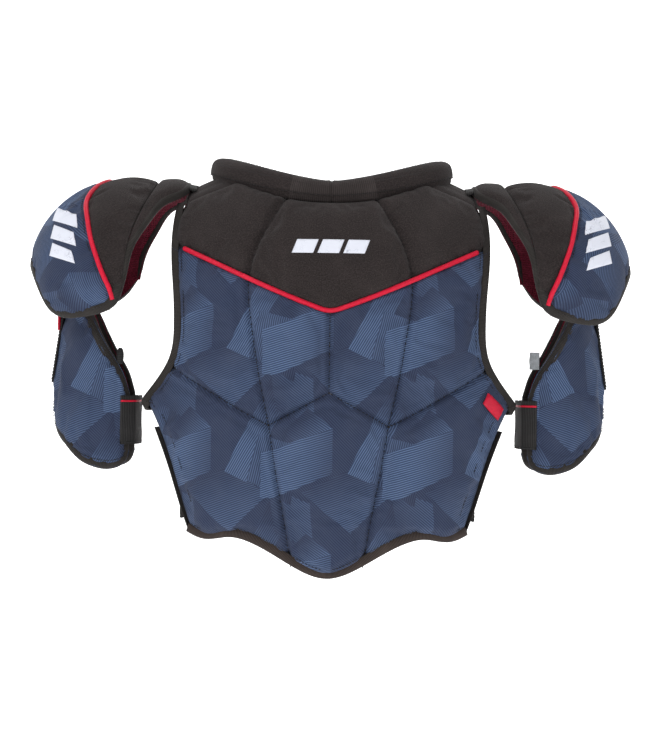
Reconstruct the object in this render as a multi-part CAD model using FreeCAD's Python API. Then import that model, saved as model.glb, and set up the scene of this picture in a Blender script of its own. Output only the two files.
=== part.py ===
import FreeCAD, Part
import math
import os
from FreeCAD import Vector

# Hockey shoulder pads, junior size, in millimetres.  +X is the wearer's right, +Y runs from
# the back to the chest, +Z is up.  The origin is the middle of the neck opening, at the height
# where the shoulder bridges rest on the wearer.

# ---- back panel: a curved quilted slab, measured from its outer face inwards along +Y
BACK_Y = -112.0          # outer face on the centre line
BACK_RADIUS = 260.0      # how the panel wraps round the torso
COVER = 3.0              # cover cloth with its top padding
PLATE = 2.2              # moulded inserts
FOAM_END = 15.0          # foam lies from the cover to here
PANEL = 17.0             # whole thickness, liner included
BIND_PROUD = 1.5         # how far a binding stands off the layers it wraps
BIND_WIDTH = 9.0         # how far a binding reaches in from the edge
SEAM = 2.0               # width of a quilting channel between two foam sections
PIPING = 4.6             # width of the red piping
PIPING_PROUD = 2.4

# ---- chest
CHEST_Y = 118.0
CHEST_RADIUS = 240.0
CHEST_GAP = 6.0          # between the two chest halves
JOINT_GAP = 0.5          # between the bridges and the chest

# ---- shoulder bridges: arch sections at their neck side and at their arm side
BRIDGE_X = (92.0, 142.0)
BRIDGE_END_Z = (16.0, -4.0)
BRIDGE_TOP_Z = (30.0, 8.0)
BRIDGE_BACK_Y = (-44.0, -36.0)
BRIDGE_FRONT_Y = (44.0, 32.0)
BRIDGE_UNDER_Z = (17.0, -5.0)

# ---- collar roll
COLLAR_HALF_WIDTH = 111.0
COLLAR_HALF_DEPTH = 66.0
COLLAR_LOW_Z = 4.7
COLLAR_RISE = 25.3
COLLAR_RADIUS = 9.0
COLLAR_SWELL = 2.2
COLLAR_END_DEG = 115.0

# ---- shoulder caps: domes of revolution about a Y axis
CAP_X = 199.0
CAP_Z = -83.0
CAP_RADIUS = 101.0       # seen from behind
CAP_HALF_DEPTH = 90.0    # front to back
CAP_COVER = 2.5
CAP_PLATE = 2.2
CAP_LINER = 9.0
NOTCH_RADIUS = 40.0      # side notch in the cap's lower rim
NOTCH_TOP_Z = -66.0

# ---- arch pad round the arm opening: an elliptical arch
ARCH_THICK = 12.0

# ---- bicep guards: upright shells open towards the body
GUARD_X = 227.0
GUARD_RADIUS = 46.0
GUARD_COVER = 2.0
GUARD_PLATE = 2.0
GUARD_LINER = 5.0
GUARD_TOP_Z = -80.0
GUARD_LOW_Z = -285.0
BAND_Z = (-246.0, -197.5)
BAND_THICK = 2.5
BAND_START_DEG = 62.0    # turns round the guard, from the side that faces the body
BAND_EDGE_DEG = 43.0
BAND_CLEARANCE = 0.2     # between the arm band and the guard's binding
BAND_MIDDLE_X = 187.0    # where the band crosses the open side

# ---- straps
WEB = 3.5                # webbing thickness
STRAP_X = (274.2, 278.7)
STRAP_HALF_WIDTH = 15.0
ADJUST_Z = (-186.0, -72.0)
HANGER_X = (226.0, 240.0)   # fabric tabs that hang a guard inside its cap, front and back
HANGER_Y = (47.8, 52.5)
HANGER_Z = (-110.0, -100.0)
SIDE_STRAP_Z = (-318.0, -280.0)
SIDE_STRAP_X = 141.5
SIDE_STRAP_Y = (-37.5, 50.0)
SIDE_TAB_X = (137.4, 141.1)
SIDE_TAB_Y = (12.0, 53.5)
STERNUM_STRAP_X = (-38.0, 48.0)
STERNUM_STRAP_Y = 119.1
STERNUM_STRAP_ZS = ((-166.0, -132.0), (-246.0, -212.0))

FAR = 400.0              # beyond the whole object


def spline_edge(points):
    """A smooth edge through points of the XZ plane, or a straight one between two."""
    places = [Vector(x, 0, z) for x, z in points]
    if len(places) == 2:
        return Part.makeLine(*places)
    curve = Part.BSplineCurve()
    curve.interpolate(places)
    return curve.toShape()


def closed_outline(*stretches):
    """A closed wire in the XZ plane made of stretches that meet end to end."""
    return Part.Wire([spline_edge(points) for points in stretches])


def directions(points):
    """The unit direction of a stretch at each of its points."""
    edge = spline_edge(points)
    found = []
    for x, z in points:
        along = edge.tangentAt(edge.Curve.parameter(Vector(x, 0, z)))
        found.append((along.x, along.z))
    return found


def moved_out(stretches, distance):
    """The same closed outline, moved outwards by a distance, or inwards if it is negative."""
    corners = [points[0] for points in stretches]
    area = sum(a[0] * b[1] - b[0] * a[1] for a, b in zip(corners, corners[1:] + corners[:1]))
    turn = 1 if area > 0 else -1
    along = [directions(points) for points in stretches]
    moved = []
    for n, points in enumerate(stretches):
        row = []
        for m, (x, z) in enumerate(points):
            first = along[n][m]
            second = first
            if m == 0:
                second = along[n - 1][-1]
            if m == len(points) - 1:
                second = along[(n + 1) % len(stretches)][0]
            across = (first[1] + second[1], -first[0] - second[0])
            scale = turn * distance * 2 / (across[0] ** 2 + across[1] ** 2)
            row.append((x + across[0] * scale, z + across[1] * scale))
        moved.append(row)
    for n, row in enumerate(moved):
        row[0] = moved[n - 1][-1]
    return moved


def prism(wire, low=-FAR, high=FAR):
    """The solid behind an outline of the XZ plane, from y = low to y = high."""
    face = Part.Face(wire)
    face.translate(Vector(0, low, 0))
    return face.extrude(Vector(0, high - low, 0))


def band_between(points, width):
    """A closed outline that follows points at half of width on each side."""
    middle = Part.BSplineCurve()
    middle.interpolate([Vector(x, 0, z) for x, z in points])
    first, last = middle.FirstParameter, middle.LastParameter
    sides = []
    for side in (1, -1):
        row = []
        for n in range(len(points)):
            knot = first + (last - first) * n / (len(points) - 1)
            place = middle.value(knot)
            along = middle.tangent(knot)[0]
            row.append((place.x - side * along.z * width / 2, place.z + side * along.x * width / 2))
        sides.append(row)
    left, right = sides
    return closed_outline(left, (left[-1], right[-1]), right[::-1], (right[0], left[0]))


def region(stretches, distance=0.0, low=-FAR, high=FAR):
    """The prism of a closed outline moved outwards by a distance."""
    if distance == 0.0:
        return prism(closed_outline(*stretches), low, high)
    return prism(closed_outline(*moved_out(stretches, distance)), low, high)


def ring(stretches, grow, shrink):
    """What lies between an outline grown and the same outline shrunk."""
    return region(stretches, grow).cut(region(stretches, -shrink))


def box(low, high):
    size = [b - a for a, b in zip(low, high)]
    return Part.makeBox(*size, Vector(*low))


def mirrored(shape):
    return shape.mirror(Vector(0, 0, 0), Vector(1, 0, 0))


def mirror_points(points):
    return [(-x, z) for x, z in reversed(points)]


def save(name, *shapes):
    """Writes one node: every solid in shapes, as one compound if there are several."""
    solids = [solid for shape in shapes for solid in shape.Solids if solid.Volume > 1.0]
    shape = solids[0] if len(solids) == 1 else Part.makeCompound(solids)
    shape.exportStep("parts/" + name + ".step")
    print(name, len(solids), round(shape.Volume / 1000, 1), "cm3", shape.isValid())


def save_pair(name, shape):
    """Writes a piece of the +X side, and its mirror image for the -X side."""
    save("right_" + name, shape)
    save("left_" + name, mirrored(shape))


# ---------------------------------------------------------------- slabs of the two panels
def back_face(x, z):
    """Y of the back panel's outer face: it wraps the torso, and leans in above and below."""
    wrap = BACK_RADIUS - math.sqrt(BACK_RADIUS ** 2 - x ** 2)
    lean = 0.0
    if z > -90:
        lean = (z + 90) ** 2 / 220
    if z < -200:
        lean = (z + 200) ** 2 / 1200
    return BACK_Y + wrap + lean


def chest_face(x, z):
    """Y of the chest's outer face."""
    wrap = CHEST_RADIUS - math.sqrt(CHEST_RADIUS ** 2 - x ** 2)
    lean = (z + 110) ** 2 / 285 if z > -110 else 0.0
    return CHEST_Y - wrap - lean


def slab(face_height, near, far, x_reach, z_low, z_high, rows=19, columns=23):
    """The layer between near and far, both measured along Y from a panel's outer face."""
    grid = []
    for i in range(rows):
        x = -x_reach + 2 * x_reach * i / (rows - 1)
        grid.append([])
        for j in range(columns):
            z = z_low + (z_high - z_low) * j / (columns - 1)
            grid[-1].append(Vector(x, face_height(x, z), z))
    surface = Part.BSplineSurface()
    surface.interpolate(grid)
    face = surface.toShape()
    face.translate(Vector(0, near, 0))
    return Part.Solid(face.extrude(Vector(0, far - near, 0)))


def back_slab(near, far):
    return slab(back_face, near, far, 200.0, -390.0, 45.0)


def chest_slab(near, far):
    return slab(chest_face, -near, -far, 160.0, -350.0, 30.0)


# ---------------------------------------------------------------- collar
def collar_roll():
    """A padded tube round the back and sides of the neck opening."""
    sections = []
    count = 17
    for n in range(count):
        turn = math.radians(-COLLAR_END_DEG + 2 * COLLAR_END_DEG * n / (count - 1))
        side = abs(math.sin(turn))
        place = Vector(COLLAR_HALF_WIDTH * math.sin(turn), -COLLAR_HALF_DEPTH * math.cos(turn),
                       COLLAR_LOW_Z + COLLAR_RISE * side ** 1.6)
        along = Vector(COLLAR_HALF_WIDTH * math.cos(turn), COLLAR_HALF_DEPTH * math.sin(turn), 0)
        radius = COLLAR_RADIUS + COLLAR_SWELL * math.sin(2 * abs(turn))
        sections.append(Part.Wire(Part.Circle(place, along, radius).toShape()))
    return Part.makeLoft(sections, True)


# ---------------------------------------------------------------- back panel
HEM = [(0, -370), (33.7, -357.6), (70.5, -337), (93.5, -331.6), (117.4, -334.9), (133.7, -328.4)]
SIDE = [(133.7, -328.4), (141, -308), (154.5, -265), (168.3, -228.4), (181.5, -202.2)]
ARMHOLE = [(181.5, -202.2), (162, -177), (151.8, -157.5), (148.5, -127.4), (149.7, -94.3),
           (152.3, -61.2), (151, -24.5), (142, -4)]
NECK = [(92, 16), (77, 10), (43, -2), (0, -6), (-43, -2), (-77, 10), (-92, 16)]


def back_outline():
    bridge_seam = [(142, -4), (92, 16)]
    right = [HEM, SIDE, ARMHOLE, bridge_seam]
    left = [mirror_points(points) for points in reversed(right)]
    return [*right, NECK, *left]


def piping_line():
    """The V of the red piping, from armhole to armhole."""
    return [(-153, -49), (-112, -68), (-75, -85), (-40, -100), (-13, -110.5), (0, -113.5),
            (13, -110.5), (40, -100), (75, -85), (112, -68), (153, -49)]


def below_piping():
    ends = [(-210, -30), (-210, -400), (210, -400), (210, -30)]
    points = piping_line()
    line = closed_outline(points, (points[-1], ends[3]), (ends[3], ends[2]), (ends[2], ends[1]),
                          (ends[1], ends[0]), (ends[0], points[0]))
    return prism(line)


def quilt_channels():
    """Narrow gaps between the foam sections, where the quilting runs."""
    side = [(43, 20), (79, -82), (75, -134), (69, -172), (58, -224), (51, -267), (43, -311), (32, -370)]
    chevron = [(0, -192), (29, -208), (58, -224)]
    wing = [(58, -224), (80, -213), (105, -199), (150, -172), (185, -150)]
    lines = [side, chevron, wing]
    channels = [prism(band_between(points, SEAM)) for points in lines]
    channels += [mirrored(channel) for channel in channels]
    channels.append(box((-SEAM / 2, -FAR, -194), (SEAM / 2, FAR, -112)))
    channels.append(prism(band_between(piping_line(), SEAM)))
    return channels


def make_back():
    outline = back_outline()
    inside = region(outline)
    lower = below_piping()
    collar = collar_roll()
    cover = back_slab(0, COVER).common(inside).cut(collar)
    plate_wire = closed_outline([(0, -45), (24, -60), (27, -150), (22, -250), (0, -300)],
                                [(0, -300), (-22, -250), (-27, -150), (-24, -60), (0, -45)])
    plate = back_slab(COVER, COVER + PLATE).common(prism(plate_wire))
    foam = back_slab(COVER, FOAM_END).common(inside).cut(collar).cut(plate)
    for channel in quilt_channels():
        foam = foam.cut(channel)
    liner = back_slab(FOAM_END, PANEL).common(inside).cut(collar)
    wrap = back_slab(-BIND_PROUD, PANEL + BIND_PROUD).cut(back_slab(0, PANEL).common(inside))
    edge = wrap.common(ring(outline, BIND_PROUD, BIND_WIDTH)).cut(collar)
    armhole_zone = box((118, -FAR, -215), (200, FAR, -8))
    hem_zone = box((-145, -FAR, -FAR), (145, FAR, -319))
    hem = edge.common(hem_zone)
    piping_zone = prism(band_between(piping_line(), PIPING)).common(region(outline, -BIND_WIDTH))
    emblem_wire = closed_outline([(-36, -47), (36, -47)], [(36, -47), (30, -54), (18, -60), (0, -62)],
                                 [(0, -62), (-18, -60), (-30, -54), (-36, -47)])
    label_wire = closed_outline([(150, -191), (166, -206)], [(166, -206), (160, -215)],
                                [(160, -215), (145, -200)], [(145, -200), (150, -191)])
    binding = edge.common(armhole_zone)

    save("back_cover", cover.common(lower))
    save("back_yoke_cover", cover.cut(lower))
    save("back_foam_yoke", foam.cut(lower))
    save("back_foam_lower", foam.common(lower))
    save("spine_plate", plate)
    save("back_liner", liner)
    save("back_piping", back_slab(-PIPING_PROUD, 0).common(piping_zone))
    save("armhole_bindings", binding, mirrored(binding))
    save("hem_binding", hem)
    save("collar_roll", collar)
    save("yoke_emblem", back_slab(-0.8, 0).common(prism(emblem_wire)))
    label = back_slab(-2.6, 0).common(prism(label_wire)).common(inside)
    save("side_label", label.cut(binding))
    return collar


# ---------------------------------------------------------------- shoulder bridges
def bridge_section(n):
    """One end of a bridge: the region between its upper and its under arch."""
    x = BRIDGE_X[n]
    end_z = BRIDGE_END_Z[n]
    back, front = BRIDGE_BACK_Y[n], BRIDGE_FRONT_Y[n]
    corners = [Vector(x, back, end_z), Vector(x, front, end_z),
               Vector(x, front - PANEL, end_z), Vector(x, back + PANEL, end_z)]
    top = Part.Arc(corners[0], Vector(x, 0, BRIDGE_TOP_Z[n]), corners[1]).toShape()
    under = Part.Arc(corners[2], Vector(x, 0, BRIDGE_UNDER_Z[n]), corners[3]).toShape()
    ends = [Part.makeLine(corners[1], corners[2]), Part.makeLine(corners[3], corners[0])]
    return Part.Wire([top, ends[0], under, ends[1]])


def make_bridges(collar):
    bridge = Part.makeLoft([bridge_section(0), bridge_section(1)], True, True)
    save_pair("shoulder_bridge", bridge.cut(collar))


# ---------------------------------------------------------------- chest
def chest_outline():
    """The right half of the chest."""
    gap = CHEST_GAP / 2
    top = [(92, 16 - JOINT_GAP), (142, -4 - JOINT_GAP)]
    arm = [(142, -4 - JOINT_GAP), (131, -35), (126, -75), (131, -120), (141, -165), (146, -195)]
    side = [(146, -195), (146, -322)]
    hem = [(146, -322), (100, -331), (50, -336), (gap, -338)]
    middle = [(gap, -338), (gap, -66)]
    neck = [(gap, -66), (22, -58), (58, -30), (80, -4), (92, 16 - JOINT_GAP)]
    return [top, arm, side, hem, middle, neck]


def make_chest():
    outline = chest_outline()
    inside = region(outline)
    line = [(-5, -112), (40, -102), (90, -84), (160, -52)]
    plate_wire = closed_outline([(12, -95), (34, -90), (50, -110), (50, -190), (30, -215), (12, -220)],
                                [(12, -220), (12, -95)])
    plate = chest_slab(COVER, COVER + PLATE).common(prism(plate_wire))
    cover = chest_slab(0, COVER).common(inside)
    foam = chest_slab(COVER, FOAM_END).common(inside).cut(plate)
    foam = foam.cut(prism(band_between(line, SEAM)))
    liner = chest_slab(FOAM_END, PANEL).common(inside)
    wrap = chest_slab(-BIND_PROUD, PANEL + BIND_PROUD).cut(chest_slab(0, PANEL).common(inside))
    top_zone = Part.makeBox(90, 2 * FAR, 60, Vector(92, -FAR, 0))
    seam = closed_outline([(70, 30), (160, 30)], [(160, 30), (160, -26)], [(160, -26), (70, 10)],
                          [(70, 10), (70, 30)])
    binding = wrap.common(ring(outline, BIND_PROUD, BIND_WIDTH)).cut(prism(seam)).cut(top_zone)
    piping = chest_slab(-PIPING_PROUD, 0).common(prism(band_between(line, PIPING)))
    piping = piping.common(region(outline, -BIND_WIDTH))
    tab_low = (SIDE_TAB_X[0], SIDE_TAB_Y[0], SIDE_STRAP_Z[0])
    tab_high = (SIDE_TAB_X[1], SIDE_TAB_Y[1], SIDE_STRAP_Z[1])
    tab = box(tab_low, tab_high)
    tab = tab.cut(chest_slab(0, PANEL + BIND_PROUD))
    patches = []
    for low, high in STERNUM_STRAP_ZS:
        patches.append(chest_slab(-0.7, 0).common(box((14, 0, low), (52, FAR, high))).cut(piping))

    save_pair("chest_cover", cover)
    save_pair("chest_foam", foam)
    save("sternum_plates", plate, mirrored(plate))
    save("chest_liner", liner, mirrored(liner))
    save("chest_binding", binding, mirrored(binding))
    save("chest_piping", piping, mirrored(piping))
    save("chest_side_tabs", tab, mirrored(tab))
    save("strap_loop_patches", *patches)


def make_straps():
    names = ("upper_sternum_strap", "lower_sternum_strap")
    for name, (low, high) in zip(names, STERNUM_STRAP_ZS):
        strap = box((STERNUM_STRAP_X[0], STERNUM_STRAP_Y + 0.8, low),
                    (STERNUM_STRAP_X[1], STERNUM_STRAP_Y + 0.8 + WEB, high))
        ends = [edge for edge in strap.Edges if abs(edge.Length - WEB) < 0.01]
        save(name, strap.makeFillet(6.0, ends))
    side = box((SIDE_STRAP_X, SIDE_STRAP_Y[0], SIDE_STRAP_Z[0]),
               (SIDE_STRAP_X + WEB, SIDE_STRAP_Y[1], SIDE_STRAP_Z[1]))
    ends = [edge for edge in side.Edges if abs(edge.Length - WEB) < 0.01 and edge.CenterOfMass.y > 0]
    save_pair("side_strap", side.makeFillet(6.0, ends))


# ---------------------------------------------------------------- shoulder caps
CAP_SEAM = [(163, 40), (169, 20), (181.5, -8), (189, -26), (196, -48), (199.4, -73), (201, -95)]
CAP_RIM = [(201, -95), (207, -110), (225.6, -119.6), (245, -123), (262, -123), (271, -119),
           (284, -101), (296, -76), (301, -66), (318, -52)]
CAP_SEAM_FRONT = [(163, 40), (169, 20), (181.5, -8), (189, -26), (196, -48), (199, -66), (200, -80)]
CAP_RIM_FRONT = [(200, -80), (207, -90), (222, -103), (243, -111.5), (262, -113), (273, -108),
                 (285, -95), (296, -76), (301, -66), (318, -52)]
CAP_BORDER = [(206, 45), (217.5, 17.5), (228, 12), (236, 3), (240, -9), (238, -22), (233.7, -41),
              (226.5, -63), (217.5, -85), (212, -97), (207, -125)]
BOUND_ZONE_END = [(285, -60), (295, -40), (330, -40), (330, -150), (150, -150)]
BOUND_ZONE = [(150, -88), (212, -88), (240, -100)] + BOUND_ZONE_END + [(150, -88)]
BOUND_ZONE_FRONT = [(150, -74), (206, -74), (240, -94)] + BOUND_ZONE_END + [(150, -74)]
CAP_HALVES = ((CAP_SEAM, CAP_RIM, BOUND_ZONE, -FAR, 0),
              (CAP_SEAM_FRONT, CAP_RIM_FRONT, BOUND_ZONE_FRONT, 0, FAR))
ARCH_RIM = [(200.6, -95), (197.5, -82.7), (194, -62), (188, -44), (176, -22), (159.5, 0), (143.5, 9)]


def dome(inset):
    """The cap's dome of revolution about a Y axis, inset from its outer face."""
    radius = CAP_RADIUS - inset
    depth = CAP_HALF_DEPTH - inset
    arc = Part.Arc(Part.Ellipse(Vector(0, 0, 0), radius, depth), -math.pi / 2, math.pi / 2).toShape()
    face = Part.Face(Part.Wire([arc, Part.makeLine(Vector(0, depth, 0), Vector(0, -depth, 0))]))
    solid = face.revolve(Vector(0, 0, 0), Vector(0, 1, 0), 360)
    solid.translate(Vector(CAP_X, 0, CAP_Z))
    return solid


def dome_layer(outer, inner):
    return dome(outer).cut(dome(inner))


def half_zone(half, distance=0.0):
    """What one half of a cap, back or front, keeps of its dome."""
    seam, rim, _, low, high = half
    corner = [(318, -52), (318, 40)]
    top = [(318, 40), (163, 40)]
    return region([seam, rim, corner, top], distance, low, high)


def cap_zone(distance=0.0):
    """What a cap keeps of its dome; the rim is a little higher at the front than at the back."""
    back, front = CAP_HALVES
    return half_zone(back, distance).fuse(half_zone(front, distance))


def cap_binding(thickness):
    """The tape along the rim of each half, less the layers that it wraps."""
    tape = dome_layer(-BIND_PROUD, thickness + BIND_PROUD)
    halves = []
    for half in CAP_HALVES:
        _, _, zone, low, high = half
        layers = dome_layer(0, thickness).common(half_zone(half).cut(side_notch()))
        edge = tape.common(half_zone(half, BIND_PROUD).cut(side_notch_shrunk()))
        edge = edge.cut(half_zone(half, -BIND_WIDTH).cut(side_notch_grown())).cut(layers)
        halves.append(edge.common(prism(Part.makePolygon([Vector(x, 0, z) for x, z in zone]), low, high)))
    return halves[0].fuse(halves[1])


def side_notch():
    notch = Part.makeCylinder(NOTCH_RADIUS, 80, Vector(262, 0, NOTCH_TOP_Z - NOTCH_RADIUS), Vector(1, 0, 0))
    return notch.fuse(box((262, -NOTCH_RADIUS, -160), (342, NOTCH_RADIUS, NOTCH_TOP_Z - NOTCH_RADIUS)))


def arch_tube(half_depth, half_height):
    """An elliptical cylinder along X round the arm opening."""
    ellipse = Part.Ellipse(Vector(0, 0, 0), half_height, half_depth).toShape()
    face = Part.Face(Part.Wire([ellipse]))
    face.rotate(Vector(0, 0, 0), Vector(0, 1, 0), 90)
    face.translate(Vector(130, 0, CAP_Z))
    return face.extrude(Vector(90, 0, 0))


def make_caps():
    notch = side_notch()
    inside = cap_zone().cut(notch)
    inner_side = prism(closed_outline(CAP_BORDER, ((207, -125), (120, -125)), ((120, -125), (120, 45)),
                                      ((120, 45), (206, 45))))
    plate_end = CAP_COVER + CAP_PLATE
    liner_end = plate_end + CAP_LINER
    cover = dome_layer(0, CAP_COVER).common(inside)
    plate = dome_layer(CAP_COVER, plate_end).common(inside)
    plate_zone = cap_zone(-BIND_WIDTH).cut(notch)
    liner = dome_layer(plate_end, liner_end).common(inside)
    core = cap_zone(-BIND_WIDTH).cut(side_notch_grown())
    arch_outer = arch_tube(CAP_HALF_DEPTH, CAP_RADIUS)
    arch_inner = arch_tube(CAP_HALF_DEPTH - ARCH_THICK, CAP_RADIUS - ARCH_THICK)
    arch_wire = closed_outline(ARCH_RIM, ((143.5, 9), (143.5, 40)), ((143.5, 40), (163, 40)),
                               [(x - 0.4 if z < 40 else x, z) for x, z in CAP_SEAM])
    arch = arch_outer.cut(arch_inner).common(prism(arch_wire))
    arch = arch.cut(box((130, 0, -FAR), (230, FAR, CAP_SEAM_FRONT[-1][1])))
    binding = cap_binding(liner_end).cut(arch)
    piping = dome_layer(-PIPING_PROUD, 0).common(prism(band_between(CAP_BORDER, PIPING))).common(core)
    near_side = box((100, -FAR, -FAR), (FAR, 0, FAR))
    stripes = []
    for shift in (0, 16, 32):
        stripe_wire = closed_outline([(249 + 0.4 * shift, -22 - shift), (272, -10 - shift)],
                                     [(272, -10 - shift), (272, -18 - shift)],
                                     [(272, -18 - shift), (247 + 0.4 * shift, -30 - shift)],
                                     [(247 + 0.4 * shift, -30 - shift), (249 + 0.4 * shift, -22 - shift)])
        stripes.append(dome_layer(-0.6, 0).common(prism(stripe_wire)).common(near_side))

    save_pair("cap_inner_cover", cover.common(inner_side))
    save_pair("cap_outer_cover", cover.cut(inner_side))
    save_pair("cap_plate", plate.common(plate_zone))
    save_pair("cap_liner", liner)
    save_pair("cap_binding", binding)
    save_pair("cap_piping", piping)
    save_pair("cap_arch_pad", arch)
    save("right_cap_stripes", *stripes)
    save("left_cap_stripes", *[mirrored(stripe) for stripe in stripes])


def side_notch_shrunk():
    """The notch less the thickness that the binding stands proud."""
    radius = NOTCH_RADIUS - BIND_PROUD
    centre_z = NOTCH_TOP_Z - NOTCH_RADIUS
    notch = Part.makeCylinder(radius, 80, Vector(262, 0, centre_z), Vector(1, 0, 0))
    return notch.fuse(box((262, -radius, -160), (342, radius, centre_z)))


def side_notch_grown():
    """The notch and the width of the binding round it."""
    radius = NOTCH_RADIUS + BIND_WIDTH
    centre_z = NOTCH_TOP_Z - NOTCH_RADIUS
    notch = Part.makeCylinder(radius, 90, Vector(256, 0, centre_z), Vector(1, 0, 0))
    return notch.fuse(box((256, -radius, -160), (346, radius, centre_z)))


# ---------------------------------------------------------------- bicep guards
GUARD_INNER = [(193.6, -244), (193, -220), (195.4, -196), (201.7, -176), (215.4, -152.8), (232.6, -123),
               (250, -104), (264, -95.5), (285, -93)]
GUARD_BOTTOM = [(285, -200), (273, -212), (267, -239), (260, -247), (245, -261), (231, -267),
                (211.6, -269), (199, -263), (193.6, -244)]


def guard_layer(outer, inner):
    height = GUARD_TOP_Z - GUARD_LOW_Z
    base = Vector(GUARD_X, 0, GUARD_LOW_Z)
    return Part.makeCylinder(GUARD_RADIUS - outer, height, base).cut(
        Part.makeCylinder(GUARD_RADIUS - inner, height, base))


def band_path(radius_gap):
    """The arm band's centre line seen from above: round the near edge, across the open side."""
    radius = GUARD_RADIUS + radius_gap
    start_turn = math.radians(BAND_START_DEG)
    edge_turn = math.radians(BAND_EDGE_DEG)
    start = Vector(GUARD_X - radius * math.cos(start_turn), -radius * math.sin(start_turn), 0)
    edge = Vector(GUARD_X - radius * math.cos(edge_turn), -radius * math.sin(edge_turn), 0)
    between_turn = (start_turn + edge_turn) / 2
    between = Vector(GUARD_X - radius * math.cos(between_turn), -radius * math.sin(between_turn), 0)
    middle = Vector(BAND_MIDDLE_X + BAND_THICK / 2, 0, 0)
    far_edge = Vector(edge.x, -edge.y, 0)
    return start, between, edge, middle, far_edge


def make_guards():
    outline = [GUARD_INNER, [(285, -93), (285, -200)], GUARD_BOTTOM]
    inside = region(outline)
    plate_zone = region(outline, -BIND_WIDTH)
    plate_start = GUARD_COVER
    liner_start = plate_start + GUARD_PLATE
    thickness = liner_start + GUARD_LINER
    cover = guard_layer(0, GUARD_COVER).common(inside)
    plate = guard_layer(plate_start, liner_start).common(plate_zone)
    liner = guard_layer(liner_start, thickness).common(inside)
    layers = guard_layer(0, thickness).common(inside)
    binding = guard_layer(-BIND_PROUD, thickness + BIND_PROUD)
    binding = binding.common(ring(outline, BIND_PROUD, BIND_WIDTH)).cut(layers)
    save_pair("guard_cover", cover)
    save_pair("guard_plate", plate)
    save_pair("guard_liner", liner)
    save_pair("guard_binding", binding)

    gap = BIND_PROUD + 0.3 + BAND_THICK / 2
    start, between, edge, middle, far_edge = band_path(gap)
    band = ribbon([Part.Arc(start, between, edge), Part.Arc(edge, middle, far_edge)], BAND_THICK, BAND_Z)
    reach = BIND_PROUD + BAND_CLEARANCE
    binding_room = guard_layer(-reach, thickness + reach).common(ring(outline, reach, BIND_WIDTH))
    save_pair("arm_band", band.cut(binding_room))
    radius = GUARD_RADIUS + gap
    turns = [math.radians(angle) for angle in (48, 78, 108)]
    tab = [Vector(GUARD_X - radius * math.cos(turn), radius * math.sin(turn), 0) for turn in turns]
    save_pair("band_tab", ribbon([Part.Arc(*tab)], BAND_THICK, BAND_Z))
    strap = box((STRAP_X[0], -STRAP_HALF_WIDTH, ADJUST_Z[0]), (STRAP_X[1], STRAP_HALF_WIDTH, ADJUST_Z[1]))
    save_pair("adjust_strap", strap.cut(guard_layer(-BIND_PROUD, thickness)))
    front = box((HANGER_X[0], HANGER_Y[0], HANGER_Z[0]), (HANGER_X[1], HANGER_Y[1], HANGER_Z[1]))
    back = front.mirror(Vector(0, 0, 0), Vector(0, 1, 0))
    save("right_hanger_tabs", front, back)
    save("left_hanger_tabs", mirrored(front), mirrored(back))


def ribbon(arcs, thick, z_range):
    """An upright band of even thickness along arcs of the XY plane."""
    solids = []
    for arc in arcs:
        middle = arc.toShape()
        first, last = middle.FirstParameter, middle.LastParameter
        centre = middle.Curve.Center
        rows = []
        for side in (1, -1):
            points = []
            for turn in (first, (first + last) / 2, last):
                place = middle.valueAt(turn)
                outward = (place - centre).normalize()
                points.append(place + outward * (side * thick / 2))
            rows.append(points)
        outer, inner = rows
        wire = Part.Wire([Part.Arc(*outer).toShape(), Part.makeLine(outer[2], inner[2]),
                          Part.Arc(*inner[::-1]).toShape(), Part.makeLine(inner[0], outer[0])])
        face = Part.Face(wire)
        face.translate(Vector(0, 0, z_range[0]))
        solids.append(face.extrude(Vector(0, 0, z_range[1] - z_range[0])))
    whole = solids[0]
    for solid in solids[1:]:
        whole = whole.fuse(solid)
    return whole


def main():
    os.makedirs("parts", exist_ok=True)
    collar = make_back()
    make_bridges(collar)
    make_chest()
    make_straps()
    make_caps()
    make_guards()


main()
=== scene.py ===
import math

import bmesh
import bpy
import numpy as np
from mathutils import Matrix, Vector
from mathutils.bvhtree import BVHTree
from mathutils.geometry import delaunay_2d_cdt


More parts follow.
